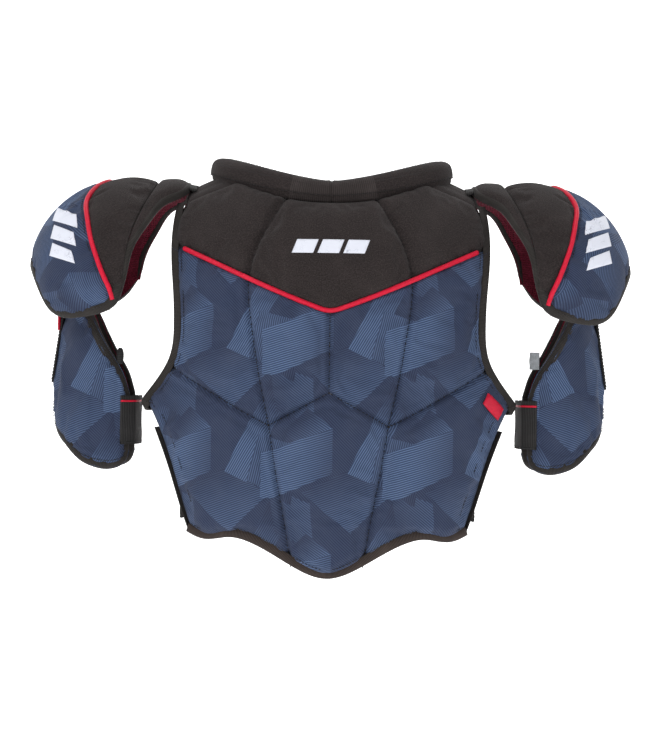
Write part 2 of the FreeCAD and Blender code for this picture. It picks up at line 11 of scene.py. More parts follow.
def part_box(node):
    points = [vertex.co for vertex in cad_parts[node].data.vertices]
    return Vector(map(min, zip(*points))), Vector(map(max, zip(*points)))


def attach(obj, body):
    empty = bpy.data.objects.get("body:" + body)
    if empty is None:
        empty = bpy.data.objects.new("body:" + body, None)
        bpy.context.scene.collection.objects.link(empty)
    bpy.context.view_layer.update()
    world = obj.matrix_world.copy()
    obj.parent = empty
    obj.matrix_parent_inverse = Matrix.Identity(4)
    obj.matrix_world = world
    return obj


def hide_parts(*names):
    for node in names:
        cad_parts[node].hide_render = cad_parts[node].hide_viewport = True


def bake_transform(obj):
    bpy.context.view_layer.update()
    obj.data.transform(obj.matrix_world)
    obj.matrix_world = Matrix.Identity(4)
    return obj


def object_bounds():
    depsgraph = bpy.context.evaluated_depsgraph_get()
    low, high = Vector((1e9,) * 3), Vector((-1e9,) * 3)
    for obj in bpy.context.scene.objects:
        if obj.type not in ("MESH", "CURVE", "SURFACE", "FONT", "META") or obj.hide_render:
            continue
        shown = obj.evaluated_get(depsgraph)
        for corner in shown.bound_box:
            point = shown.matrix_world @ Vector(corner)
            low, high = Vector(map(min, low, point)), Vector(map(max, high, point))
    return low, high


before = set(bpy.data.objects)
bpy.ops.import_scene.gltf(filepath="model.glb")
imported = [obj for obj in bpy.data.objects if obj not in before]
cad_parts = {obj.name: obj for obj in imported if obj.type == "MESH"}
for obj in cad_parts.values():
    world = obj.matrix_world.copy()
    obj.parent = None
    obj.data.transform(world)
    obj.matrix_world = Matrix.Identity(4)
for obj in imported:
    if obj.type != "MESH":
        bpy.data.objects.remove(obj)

# Hockey shoulder pads seen from behind.  Metres, in the CAD frame: +X the wearer's right,
# +Y from the back to the chest, +Z up.  Shapes repeat the CAD model's driving dimensions.

cad_low, cad_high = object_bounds()
MM = 0.001

# ---- driving dimensions, in millimetres, as in the CAD model
BACK_Y, BACK_RADIUS = -112.0, 260.0
CHEST_Y, CHEST_RADIUS = 118.0, 240.0
PANEL = 17.0
PAD_BACK = 14.8             # the quilted pad ends here, and the lining follows
BRIDGE_X = (92.0, 142.0)
CAP_X, CAP_Z, CAP_RADIUS, CAP_HALF_DEPTH = 199.0, -83.0, 101.0, 90.0
GUARD_X, GUARD_RADIUS = 227.0, 46.0
BAND_Z = (-246.0, -197.5)
BAND_MIDDLE_X = 187.0
BAND_THICK, BIND_PROUD = 2.5, 1.5
STRAP_INNER_X = 273.6       # the adjusting strap's face on the guard
SIDE_TAB_X, SIDE_TAB_Y = (137.4, 141.1), (12.0, 53.5)
GUARD_TURN = (math.radians(46.6), math.radians(313.4))      # where the guard's cloth starts and ends
CAP_BARS = ((-14, -28), (-32.5, -46), (-50.5, -63))         # top and bottom of each pale bar
CAMERA_ROLL = -0.8          # degrees
GRID = 4.0                  # spacing of the panels' first mesh
SEAM_SINK = 2.6             # how far the quilting pulls a seam in
PUFF = 5.0                  # how far a quilted section stands up
STITCH_PITCH = 3.4
SIDES = (("right", 1), ("left", -1))

HEM = [(0, -370), (33.7, -357.6), (70.5, -337), (93.5, -331.6), (117.4, -334.9), (133.7, -328.4)]
HEM_LINE = [(-x, z) for x, z in reversed(HEM[1:])] + HEM
SIDE = [(133.7, -328.4), (141, -308), (154.5, -265), (168.3, -228.4), (181.5, -202.2)]
ARMHOLE = [(181.5, -202.2), (162, -177), (151.8, -157.5), (148.5, -127.4), (149.7, -94.3),
           (152.3, -61.2), (151, -24.5), (142, -4)]
BRIDGE_SEAM = [(142, -4), (92, 16)]
NECK = [(92, 16), (77, 10), (43, -2), (0, -6), (-43, -2), (-77, 10), (-92, 16)]
PIPING = [(-153, -49), (-112, -68), (-75, -85), (-40, -100), (-13, -110.5), (0, -113.5),
          (13, -110.5), (40, -100), (75, -85), (112, -68), (153, -49)]
QUILT_SIDE = [(43, 0), (79, -82), (75, -134), (69, -172), (58, -224), (51, -267), (43, -311), (35, -360)]
QUILT_CHEVRON = [(0, -192), (29, -208), (58, -224)]
QUILT_WING = [(58, -224), (80, -213), (105, -199), (150, -172), (156, -168)]
QUILT_CENTRE = [(0, -192), (0, -114)]

CHEST_TOP = [(92, 15.5), (142, -4.5)]
CHEST_ARM = [(142, -4.5), (131, -35), (126, -75), (131, -120), (141, -165), (146, -195)]
CHEST_SIDE = [(146, -195), (146, -322)]
CHEST_HEM = [(146, -322), (100, -331), (50, -336), (3, -338)]
CHEST_MIDDLE = [(3, -338), (3, -66)]
CHEST_NECK = [(3, -66), (22, -58), (58, -30), (80, -4), (92, 15.5)]
CHEST_PIPING = [(3, -110.5), (40, -102), (90, -84), (129, -67)]
CHEST_QUILT = [[(66, -26), (72, -92), (70, -170), (62, -240), (54, -335)],
               [(3, -214), (32, -222), (65, -212), (100, -200), (144, -186)]]

CAP_SEAM = [(163, 40), (169, 20), (181.5, -8), (189, -26), (196, -48), (199.4, -73), (201, -95)]
CAP_RIM = [(201, -95), (207, -110), (225.6, -119.6), (245, -123), (262, -123), (271, -119),
           (284, -101), (296, -76), (301, -66)]
CAP_RIM_FRONT = [(200, -80), (207, -90), (222, -103), (243, -111.5), (262, -113), (273, -108),
                 (285, -95), (296, -76), (301, -66)]
CAP_BORDER = [(206, 45), (217.5, 17.5), (228, 12), (236, 3), (240, -9), (238, -22), (233.7, -41),
              (226.5, -63), (217.5, -85), (212, -97), (207, -125)]
ARCH_RIM = [(200.6, -95), (197.5, -82.7), (194, -62), (188, -44), (176, -22), (159.5, 0), (143.5, 9),
            (143.5, 40)]
GUARD_INNER = [(195.4, -196), (201.7, -176), (215.4, -152.8), (232.6, -123), (250, -104), (264, -95.5),
               (273, -93)]
GUARD_BOTTOM = [(195.4, -250), (199, -263), (211.6, -269), (231, -267), (245, -261), (260, -247),
                (267, -239), (273, -212)]


# ---------------------------------------------------------------- curves
def spline(points, step):
    """Points about step apart on a natural cubic spline through points."""
    p = np.array(points, float)
    gaps = np.linalg.norm(np.diff(p, axis=0), axis=1)
    knots = np.r_[0, np.cumsum(gaps)]
    count = max(2, int(round(knots[-1] / step)) + 1)
    at = np.linspace(0, knots[-1], count)
    if len(p) == 2:
        return p[0] + (p[1] - p[0]) * (at / knots[-1])[:, None]
    n = len(p)
    matrix = np.eye(n)
    right = np.zeros_like(p)
    for i in range(1, n - 1):
        matrix[i, i - 1], matrix[i, i], matrix[i, i + 1] = gaps[i - 1], 2 * (gaps[i - 1] + gaps[i]), gaps[i]
        right[i] = 6 * ((p[i + 1] - p[i]) / gaps[i] - (p[i] - p[i - 1]) / gaps[i - 1])
    bend = np.linalg.solve(matrix, right)
    i = np.clip(np.searchsorted(knots, at, side="right") - 1, 0, n - 2)
    h = gaps[i][:, None]
    a = (knots[i + 1] - at)[:, None] / h
    b = (at - knots[i])[:, None] / h
    return a * p[i] + b * p[i + 1] + ((a ** 3 - a) * bend[i] + (b ** 3 - b) * bend[i + 1]) * h ** 2 / 6


def flip(points):
    """The mirror image of a stretch, in the order that continues an outline."""
    return [(-x, z) for x, z in reversed(points)]


def spread(path, step):
    """A 3-D path resampled at even spacing."""
    path = np.asarray(path, float)
    gaps = np.linalg.norm(np.diff(path, axis=0), axis=1)
    length = np.r_[0, np.cumsum(gaps)]
    count = max(2, int(round(length[-1] / step)) + 1)
    at = np.linspace(0, length[-1], count)
    return np.stack([np.interp(at, length, path[:, k]) for k in range(3)], axis=1)


def near_lines(points, lines):
    """For each 2-D point: the distance to the nearest of several polylines, and how far along it lies."""
    best = np.full(len(points), 1e9)
    along = np.zeros(len(points))
    start = 0.0
    for line in lines:
        for a, b in zip(line[:-1], line[1:]):
            d = b - a
            length = math.hypot(*d)
            if length < 1e-9:
                continue
            t = np.clip(((points - a) @ d) / length ** 2, 0, 1)
            gap = np.linalg.norm(points - a - t[:, None] * d, axis=1)
            closer = gap < best
            best[closer] = gap[closer]
            along[closer] = start + t[closer] * length
            start += length
        start += 17.0
    return best, along


def inside(points, loop):
    """Which 2-D points lie inside a closed polygon."""
    result = np.zeros(len(points), bool)
    for a, b in zip(loop, np.roll(loop, -1, axis=0)):
        crosses = (a[1] > points[:, 1]) != (b[1] > points[:, 1])
        with np.errstate(divide="ignore", invalid="ignore"):
            x = a[0] + (points[:, 1] - a[1]) * (b[0] - a[0]) / (b[1] - a[1])
        result ^= crosses & (points[:, 0] < x)
    return result


# ---------------------------------------------------------------- meshes
def mesh_object(name, verts, faces, cloth=None, closed=True):
    """A mesh object from millimetre vertices; cloth holds each vertex's place on the flat cloth."""
    mesh = bpy.data.meshes.new(name)
    mesh.from_pydata((np.asarray(verts) * MM).tolist(), [], [list(map(int, f)) for f in faces])
    if closed:
        shell = bmesh.new()
        shell.from_mesh(mesh)
        bmesh.ops.recalc_face_normals(shell, faces=shell.faces)
        shell.to_mesh(mesh)
        shell.free()
    for polygon in mesh.polygons:
        polygon.use_smooth = True
    if cloth is None:
        cloth = np.asarray(verts)[:, [0, 2]]
    flat = np.zeros((len(mesh.vertices), 3), np.float32)
    flat[:, :2] = np.asarray(cloth)[:, :2] * MM
    layer = mesh.attributes.new("cloth", "FLOAT_VECTOR", "POINT")
    layer.data.foreach_set("vector", flat.ravel())
    piece = bpy.data.objects.new(name, mesh)
    bpy.context.scene.collection.objects.link(piece)
    return piece


def boundary(faces):
    """The directed edges that only one face uses."""
    seen = {}
    for face in faces:
        for a, b in zip(face, list(face[1:]) + [face[0]]):
            seen[(a, b)] = True
    return [(a, b) for a, b in seen if (b, a) not in seen]


def turned_over(points, side):
    """The mirror image, for the left side, of places or vectors on the right side."""
    return points if side == "right" else points * np.array([-1.0, 1.0, 1.0])


def doubled(name, outer, faces, inner, flat, side="right"):
    """A closed piece of cloth between its outer and inner places, mirrored for the left side."""
    both, closed = thicken(outer, faces, inner)
    return mesh_object(name, turned_over(both, side), closed, np.vstack([flat, flat]))


def thicken(verts, faces, inner):
    """A closed skin between verts and inner, its other face."""
    n = len(verts)
    both = np.vstack([verts, inner])
    made = [list(f) for f in faces] + [[i + n for i in reversed(f)] for f in faces]
    made += [[b, a, a + n, b + n] for a, b in boundary(faces)]
    return both, made


def grid_faces(rows, columns, closed_rows=False, closed_columns=False):
    """Quads of a grid whose vertex (row, column) is row * columns + column."""
    faces = []
    for i in range(rows if closed_rows else rows - 1):
        for j in range(columns if closed_columns else columns - 1):
            k, m = (i + 1) % rows, (j + 1) % columns
            faces.append([i * columns + j, k * columns + j, k * columns + m, i * columns + m])
    return faces


def path_frames(path, up, closed=False):
    """Tangent, sideways and up vectors along a path, from rough up vectors."""
    if closed:
        tangent = np.roll(path, -1, axis=0) - np.roll(path, 1, axis=0)
    else:
        tangent = np.gradient(path, axis=0)
    tangent /= np.linalg.norm(tangent, axis=1)[:, None] + 1e-12
    up = up - (up * tangent).sum(1)[:, None] * tangent
    up /= np.linalg.norm(up, axis=1)[:, None] + 1e-12
    return tangent, np.cross(tangent, up), up


def sweep(name, path, up, profile, closed=False, scale=None):
    """A closed profile of (sideways, up) points carried along a path."""
    path = np.asarray(path, float)
    profile = np.asarray(profile, float)
    _, side, up = path_frames(path, np.asarray(up, float), closed)
    size = np.ones(len(path)) if scale is None else np.asarray(scale)
    verts = (path[:, None] + side[:, None] * profile[None, :, :1] * size[:, None, None]
             + up[:, None] * profile[None, :, 1:] * size[:, None, None])
    rows, columns = len(path), len(profile)
    faces = grid_faces(rows, columns, closed, True)
    if not closed:
        faces.append(list(range(columns)))
        faces.append([(rows - 1) * columns + j for j in reversed(range(columns))])
    gaps = np.r_[0, np.cumsum(np.linalg.norm(np.diff(path, axis=0), axis=1))]
    round_gap = np.r_[0, np.cumsum(np.linalg.norm(np.diff(profile, axis=0), axis=1))]
    cloth = np.stack(np.broadcast_arrays(gaps[:, None], round_gap[None]), axis=-1).reshape(-1, 2)
    return mesh_object(name, verts.reshape(-1, 3), faces, cloth)


def circle(radius, count=10, flat=1.0):
    turn = np.linspace(0, 2 * math.pi, count, endpoint=False)
    return np.stack([radius * np.cos(turn), flat * radius * np.sin(turn)], axis=1)


def tape_profile(width, thick, proud=1.2, depth=1.0):
    """A folded tape over an edge: sideways 0 is the edge and negative is inwards."""
    half = thick / 2
    return [(-width, half + 0.1), (-width + 0.6, half + proud * 0.8), (-width * 0.5, half + proud),
            (-1.5, half + proud * 0.9), (0.3 * depth, half * 0.8), (depth, half * 0.35), (depth * 1.15, 0),
            (depth, -half * 0.35), (0.3 * depth, -half * 0.8), (-1.5, -half - proud * 0.9),
            (-width * 0.5, -half - proud), (-width + 0.6, -half - proud * 0.8), (-width, -half - 0.1),
            (-width + 1.0, -half + 0.8), (-2.5, -half * 0.6), (-1.2, 0), (-2.5, half * 0.6),
            (-width + 1.0, half - 0.8)]


def capsule(length, radius, sides=6):
    """A small stitch along +X, lying on z = 0."""
    rings = [(-0.5, 0.25), (-0.36, 0.85), (0.0, 1.0), (0.36, 0.85), (0.5, 0.25)]
    verts = []
    for along, size in rings:
        for k in range(sides):
            turn = 2 * math.pi * k / sides
            verts.append((along * length, radius * size * math.cos(turn), radius * size * math.sin(turn)))
    faces = []
    for low in range(0, (len(rings) - 1) * sides, sides):
        for k in range(sides):
            after = (k + 1) % sides
            faces.append([low + k, low + sides + k, low + sides + after, low + after])
    faces.append(list(reversed(range(sides))))
    faces.append([(len(rings) - 1) * sides + k for k in range(sides)])
    return np.array(verts), faces


def stitches(name, rows, length=2.5, radius=0.42, pitch=STITCH_PITCH, lift=0.15):
    """One piece with every stitch of several rows, each a (path, up) pair."""
    shape, faces = capsule(length, radius)
    verts, made = [], []
    for path, up in rows:
        both = spread(np.hstack([path, up])[:, :3], pitch)
        place = np.linalg.norm(path[None] - both[:, None], axis=2).argmin(1)
        tangent, side, high = path_frames(both, np.asarray(up)[place])
        for k in range(len(both)):
            start = len(verts) * len(shape)
            turned = (shape[:, :1] * tangent[k] + shape[:, 1:2] * side[k] + shape[:, 2:] * high[k])
            verts.append(both[k] + high[k] * lift + turned)
            made += [[v + start for v in f] for f in faces]
    return mesh_object(name, np.vstack(verts), made)


def sewn(name, rows, thread, body, **sizes):
    """A piece with rows of stitches that rides with a body."""
    return place(stitches(name, rows, **sizes), body, thread)


def refined(verts, faces, cloth):
    """Subdivision-smoothed arrays."""
    temp = mesh_object("temp", verts, faces, cloth, False)
    bpy.context.view_layer.objects.active = temp
    smooth = temp.modifiers.new("smooth", "SUBSURF")
    smooth.levels = 1
    smooth.boundary_smooth = "PRESERVE_CORNERS"
    made = temp.evaluated_get(bpy.context.evaluated_depsgraph_get()).to_mesh()
    places = np.zeros(len(made.vertices) * 3, np.float32)
    made.vertices.foreach_get("co", places)
    flat = np.zeros(len(made.vertices) * 3, np.float32)
    made.attributes["cloth"].data.foreach_get("vector", flat)
    polygons = [list(p.vertices) for p in made.polygons]
    bpy.data.objects.remove(temp)
    return places.reshape(-1, 3).astype(float) / MM, polygons, flat.reshape(-1, 3)[:, :2].astype(float) / MM


def only(verts, faces, cloth, keep):
    """The part of a mesh whose faces are kept, with its vertices numbered again."""
    kept = [f for f, k in zip(faces, keep) if k]
    used = sorted({v for f in kept for v in f})
    number = {v: n for n, v in enumerate(used)}
    return verts[used], [[number[v] for v in f] for f in kept], cloth[used]


# ---------------------------------------------------------------- materials
MATERIALS = {}


class Nodes:
    """A short way to write a material's nodes."""

    def __init__(self, name):
        self.material = bpy.data.materials.new(name)
        self.material.use_nodes = True
        self.tree = self.material.node_tree
        self.shader = self.tree.nodes["Principled BSDF"]

    def add(self, kind, inputs=(), **settings):
        node = self.tree.nodes.new("ShaderNode" + kind)
        for key, value in settings.items():
            setattr(node, key, value)
        for key, value in dict(inputs).items():
            self.put(node.inputs[key], value)
        return node

    def put(self, socket, value):
        if isinstance(value, bpy.types.NodeSocket):
            self.tree.links.new(value, socket)
        else:
            socket.default_value = value

    def math(self, operation, a, b=0.0, c=0.0):
        node = self.add("Math", operation=operation)
        for socket, value in zip(node.inputs, (a, b, c)):
            self.put(socket, value)
        return node.outputs[0]

    def cloth(self):
        found = self.add("Attribute", attribute_name="cloth", attribute_type="GEOMETRY")
        return found.outputs["Vector"]

    def mix(self, share, a, b):
        node = self.add("Mix", data_type="RGBA")
        self.put(node.inputs[0], share)
        self.put(node.inputs[6], a)
        self.put(node.inputs[7], b)
        return node.outputs[2]

    def noise(self, vector, scale, detail=2.0, rough=0.5):
        node = self.add("TexNoise", {"Vector": vector, "Scale": scale, "Detail": detail, "Roughness": rough})
        return node.outputs["Fac"]

    def ramp(self, value, low, high, to_low=0.0, to_high=1.0, smooth=True):
        node = self.add("MapRange", {"Value": value, "From Min": low, "From Max": high, "To Min": to_low,
                                     "To Max": to_high})
        if smooth:
            node.interpolation_type = "SMOOTHSTEP"
        return node.outputs[0]

    def weave(self, vector, pitch):
        """Height of a plain weave: two crossed sets of round threads."""
        split = self.add("SeparateXYZ", {0: vector})
        turns = 2 * math.pi / pitch
        across = self.math("SINE", self.math("MULTIPLY", split.outputs[0], turns))
        along = self.math("SINE", self.math("MULTIPLY", split.outputs[1], turns))
        return self.math("MULTIPLY_ADD", self.math("MULTIPLY", across, along), 0.5, 0.5)

    def bump(self, height, distance, strength=1.0, normal=None):
        inputs = {"Height": height, "Distance": distance, "Strength": strength}
        if normal is not None:
            inputs["Normal"] = normal
        return self.add("Bump", inputs).outputs[0]

    def finish(self, color, rough, normal=None, sheen=0.0, specular=0.4):
        self.put(self.shader.inputs["Base Color"], color)
        self.put(self.shader.inputs["Roughness"], rough)
        if normal is not None:
            self.put(self.shader.inputs["Normal"], normal)
        self.shader.inputs["Specular IOR Level"].default_value = specular
        self.shader.inputs["Sheen Weight"].default_value = sheen
        self.shader.inputs["Sheen Roughness"].default_value = 0.5
        return self.material


def rgb(*color):
    return (*color, 1.0)


TILE = 0.118                # the print repeats after this distance
FACETS = (                  # centre, corners, direction of lines, way it fades, and brightness
    ((16, -56), [(-40, 6), (8, 30), (44, 2), (6, -34)], 20, (0.3, -1.0), 0.55),
    ((52, 12), [(-34, -44), (-12, -54), (36, 44), (14, 54)], 60, (-0.4, -1.0), 0.80),
    ((-38, 46), [(-20, 26), (22, 12), (26, -34), (-12, -20)], -38, (1.0, 0.4), 0.45),
    ((-52, -26), [(-16, 30), (22, 20), (18, -38), (-26, -14)], 76, (-0.8, 0.6), 0.60),
    ((-6, 2), [(-36, 4), (-14, 26), (10, 8), (10, -34)], -33, (1.0, -1.0), 1.00),
    ((-6, 2), [(10, 8), (32, 16), (32, -24), (10, -34)], 17, (-1.0, 0.2), 0.85),
)


def facet(n, coords, centre, corners, turn, fading, bright):
    """One repeating angular facet: whether a point is in it, its line colour share and its shade."""
    moved = n.add("VectorMath", {0: coords, 1: (TILE / 2 - centre[0] * MM, TILE / 2 - centre[1] * MM, 0.0)},
                  operation="ADD").outputs[0]
    wrapped = n.add("VectorMath", {0: moved, 1: (TILE, TILE, 1.0)}, operation="WRAP")
    n.put(wrapped.inputs[2], (0.0, 0.0, 0.0))
    local = n.add("VectorMath", {0: wrapped.outputs[0], 1: (TILE / 2, TILE / 2, 0.0)},
                  operation="SUBTRACT").outputs[0]
    edge = None
    for a, b in zip(corners, corners[1:] + corners[:1]):
        across = np.array([a[1] - b[1], b[0] - a[0]], float)
        across /= np.linalg.norm(across)
        if np.dot(across, a) > 0:
            across = -across
        dot = n.add("VectorMath", {0: local, 1: (across[0], across[1], 0.0)}, operation="DOT_PRODUCT")
        gap = n.math("ADD", dot.outputs["Value"], float(-np.dot(across, a)) * MM)
        edge = gap if edge is None else n.math("MINIMUM", edge, gap)
    within = n.ramp(edge, 0.0, 0.0004)
    way = math.radians(turn + 90)
    rows = n.add("VectorMath", {0: local, 1: (math.cos(way), math.sin(way), 0.0)}, operation="DOT_PRODUCT")
    wave = n.math("SINE", n.math("MULTIPLY", rows.outputs["Value"], 2 * math.pi / 0.0020))
    fade = n.add("VectorMath", {0: local, 1: (fading[0], fading[1], 0.0)}, operation="DOT_PRODUCT")
    shade = n.ramp(fade.outputs["Value"], -0.045, 0.030, 0.08 * bright, bright)
    return within, n.ramp(wave, -0.2, 0.8), shade


def blue_cloth():
    """Printed polyester: big angular facets filled with fine parallel lines, over a fine weave."""
    n = Nodes("blue_cloth")
    coords = n.cloth()
    split = n.add("SeparateXYZ", {0: coords}).outputs
    base_wave = n.math("SINE", n.math("MULTIPLY", n.math("ADD", split[0], split[1]), 2 * math.pi / 0.0028))
    line, shade = n.ramp(base_wave, 0.0, 0.9), 0.16
    for details in FACETS:
        within, wave, bright = facet(n, coords, *details)
        line = n.add("Mix", {0: within, 2: line, 3: wave}).outputs[0]
        shade = n.add("Mix", {0: within, 2: shade, 3: bright}).outputs[0]
    ground = n.mix(shade, rgb(0.020, 0.025, 0.052), rgb(0.037, 0.058, 0.120))
    bright = n.mix(shade, rgb(0.026, 0.036, 0.075), rgb(0.125, 0.195, 0.345))
    printed = n.mix(line, ground, bright)
    weave = n.weave(coords, 0.0011)
    threads = n.mix(n.ramp(weave, 0.0, 1.0, 0.30, 0.0, False), printed, rgb(0.009, 0.012, 0.022))
    worn = n.mix(n.ramp(n.noise(coords, 35.0, 3.0), 0.35, 0.75, 0.0, 0.10), threads, rgb(0.085, 0.100, 0.150))
    normal = n.bump(weave, 0.00022, 0.9, n.bump(n.noise(coords, 260.0, 3.0), 0.0004, 0.5))
    rough = n.ramp(n.noise(coords, 60.0), 0.2, 0.8, 0.66, 0.82)
    return n.finish(worn, rough, normal, 0.05, 0.14)


def black_cloth():
    """Warm black knit with a fine heather."""
    n = Nodes("black_cloth")
    coords = n.cloth()
    knit = n.weave(coords, 0.0012)
    heather = n.noise(coords, 900.0, 3.0, 0.7)
    base = n.mix(n.ramp(heather, 0.35, 0.75), rgb(0.013, 0.0100, 0.0100), rgb(0.054, 0.042, 0.041))
    threads = n.mix(n.ramp(knit, 0.0, 1.0, 0.35, 0.0, False), base, rgb(0.009, 0.008, 0.008))
    dust = n.mix(n.ramp(n.noise(coords, 28.0, 4.0), 0.4, 0.8, 0.0, 0.14), threads, rgb(0.075, 0.060, 0.058))
    normal = n.bump(knit, 0.00025, 0.9, n.bump(n.noise(coords, 180.0, 3.0), 0.0005, 0.5))
    return n.finish(dust, n.ramp(heather, 0.2, 0.8, 0.78, 0.95), normal, 0.08, 0.10)


def ribbed_cloth(name, low, high, pitch, sheen=0.05):
    """Tape or elastic with ribs across its length."""
    n = Nodes(name)
    coords = n.cloth()
    split = n.add("SeparateXYZ", {0: coords}).outputs
    ribs = n.math("MULTIPLY_ADD", n.math("SINE", n.math("MULTIPLY", split[0], 2 * math.pi / pitch)), 0.5, 0.5)
    thread_wave = n.math("SINE", n.math("MULTIPLY", split[1], 2 * math.pi / 0.0011))
    threads = n.math("MULTIPLY_ADD", thread_wave, 0.5, 0.5)
    height = n.math("MULTIPLY_ADD", threads, 0.35, ribs)
    fluff = n.noise(coords, 1100.0, 2.0)
    base = n.mix(n.math("MULTIPLY", ribs, n.ramp(fluff, 0.2, 0.8, 0.5, 1.0)), rgb(*low), rgb(*high))
    worn = n.mix(n.ramp(n.noise(coords, 40.0, 4.0), 0.45, 0.8, 0.0, 0.25), base,
                 rgb(*[1.6 * c + 0.01 for c in high]))
    normal = n.bump(height, 0.00022, 0.8, n.bump(n.noise(coords, 150.0), 0.0004, 0.4))
    return n.finish(worn, n.ramp(fluff, 0.2, 0.8, 0.6, 0.85), normal, sheen, 0.13)


def mesh_lining(name, low, high):
    """Brushed lining with a small air-mesh pattern."""
    n = Nodes(name)
    coords = n.cloth()
    holes = n.add("TexVoronoi", {"Vector": coords, "Scale": 1 / 0.0026, "Randomness": 0.12},
                  voronoi_dimensions="2D").outputs["Distance"]
    rim = n.ramp(holes, 0.15, 0.45)
    base = n.mix(n.ramp(n.noise(coords, 500.0, 3.0), 0.3, 0.75), rgb(*low), rgb(*high))
    colour = n.mix(n.ramp(rim, 0.0, 1.0, 0.65, 0.0), base, rgb(*[0.25 * c for c in low]))
    normal = n.bump(rim, 0.0005, 0.7, n.bump(n.noise(coords, 120.0), 0.0006, 0.5))
    return n.finish(colour, 0.85, normal, 0.08, 0.12)


def satin(name, colour, dark, rough=0.42):
    """Smooth covered cord, thread or label cloth."""
    n = Nodes(name)
    coords = n.cloth()
    split = n.add("SeparateXYZ", {0: coords}).outputs
    twist = n.math("SINE", n.math("MULTIPLY", n.math("ADD", split[0], split[1]), 2 * math.pi / 0.0012))
    threads = n.math("MULTIPLY_ADD", twist, 0.5, 0.5)
    shade = n.mix(n.math("MULTIPLY", threads, n.ramp(n.noise(coords, 300.0), 0.2, 0.8, 0.4, 1.0)),
                  rgb(*dark), rgb(*colour))
    return n.finish(shade, n.ramp(n.noise(coords, 90.0), 0.2, 0.8, rough - 0.06, rough + 0.1),
                    n.bump(threads, 0.00012, 0.6), 0.03, 0.22)


def print_ink():
    """Thick pale screen print with fine cracks of wear."""
    n = Nodes("white_print")
    coords = n.cloth()
    cells = n.add("TexVoronoi", {"Vector": coords, "Scale": 450.0}, feature="DISTANCE_TO_EDGE")
    crack = cells.outputs["Distance"]
    worn = n.math("MULTIPLY", n.ramp(crack, 0.0, 0.06, 1.0, 0.0), n.ramp(n.noise(coords, 90.0), 0.5, 0.7))
    colour = n.mix(worn, rgb(0.66, 0.68, 0.76), rgb(0.30, 0.32, 0.38))
    return n.finish(colour, 0.5, n.bump(n.weave(coords, 0.0011), 0.00008, 0.5), 0.0, 0.2)


def moulded(name, colour):
    """Fine-grained moulded plastic."""
    n = Nodes(name)
    place = n.add("TexCoord").outputs["Object"]
    grain = n.noise(place, 900.0, 3.0)
    base = n.mix(n.ramp(n.noise(place, 40.0), 0.3, 0.7), rgb(*colour), rgb(*[1.5 * c for c in colour]))
    return n.finish(base, n.ramp(grain, 0.3, 0.7, 0.35, 0.55), n.bump(grain, 0.0002, 0.4), 0.0, 0.5)


def closed_foam():
    """Pale closed-cell foam."""
    n = Nodes("foam")
    place = n.add("TexCoord").outputs["Object"]
    cells = n.add("TexVoronoi", {"Vector": place, "Scale": 700.0}).outputs["Distance"]
    base = n.mix(n.ramp(cells, 0.1, 0.6), rgb(0.24, 0.24, 0.25), rgb(0.40, 0.40, 0.41))
    return n.finish(base, 0.9, n.bump(cells, 0.0004, 0.5), 0.0, 0.3)


def make_materials():
    MATERIALS.update({
        "blue_cloth": blue_cloth(),
        "black_cloth": black_cloth(),
        "binding_tape": ribbed_cloth("binding_tape", (0.010, 0.009, 0.0085), (0.046, 0.040, 0.037), 0.0013),
        "hem_tape": ribbed_cloth("hem_tape", (0.014, 0.010, 0.009), (0.062, 0.046, 0.040), 0.0013),
        "elastic": ribbed_cloth("elastic", (0.008, 0.008, 0.008), (0.040, 0.038, 0.038), 0.0019),
        "webbing": ribbed_cloth("webbing", (0.008, 0.008, 0.008), (0.036, 0.035, 0.036), 0.0016),
        "knit_rib": ribbed_cloth("knit_rib", (0.016, 0.0125, 0.012), (0.044, 0.035, 0.034), 0.0018, 0.08),
        "liner_cloth": mesh_lining("liner_cloth", (0.085, 0.006, 0.016), (0.190, 0.016, 0.038)),
        "red_trim": satin("red_trim", (0.78, 0.008, 0.050), (0.42, 0.002, 0.018)),
        "label": satin("label", (0.62, 0.006, 0.040), (0.36, 0.002, 0.018)),
        "grey_satin": satin("grey_satin", (0.36, 0.38, 0.40), (0.14, 0.15, 0.16)),
        "white_print": print_ink(),
        "black_thread": satin("black_thread", (0.020, 0.018, 0.018), (0.006, 0.005, 0.005), 0.5),
        "navy_thread": satin("navy_thread", (0.030, 0.040, 0.085), (0.010, 0.013, 0.030), 0.5),
        "plate_plastic": moulded("plate_plastic", (0.05, 0.05, 0.055)),
        "foam": closed_foam(),
    })


def paint(piece, material):
    piece.data.materials.clear()
    piece.data.materials.append(MATERIALS[material])
    return piece


def place(piece, body, material, nodes=(), fill=None):
    """Gives a piece its material, its body and the CAD nodes that it stands for."""
    paint(piece, material)
    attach(piece, body)
    if nodes:
        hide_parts(*nodes)
    return piece


# ---------------------------------------------------------------- the two panels' surfaces
def back_y(x, z):
    wrap = BACK_RADIUS - np.sqrt(BACK_RADIUS ** 2 - x ** 2)
    lean = np.where(z > -90, (z + 90) ** 2 / 220, np.where(z < -200, (z + 200) ** 2 / 1200, 0.0))
    return BACK_Y + wrap + lean


def chest_y(x, z):
    wrap = CHEST_RADIUS - np.sqrt(CHEST_RADIUS ** 2 - x ** 2)
    return CHEST_Y - wrap - np.where(z > -110, (z + 110) ** 2 / 285, 0.0)


def on_face(face, flat, depth=0.0):
    """3-D places of flat (x, z) points, depth along Y inwards of a panel's outer face."""
    flat = np.asarray(flat, float)
    inward = 1.0 if face is back_y else -1.0
    return np.stack([flat[:, 0], face(flat[:, 0], flat[:, 1]) + inward * depth, flat[:, 1]], axis=1)


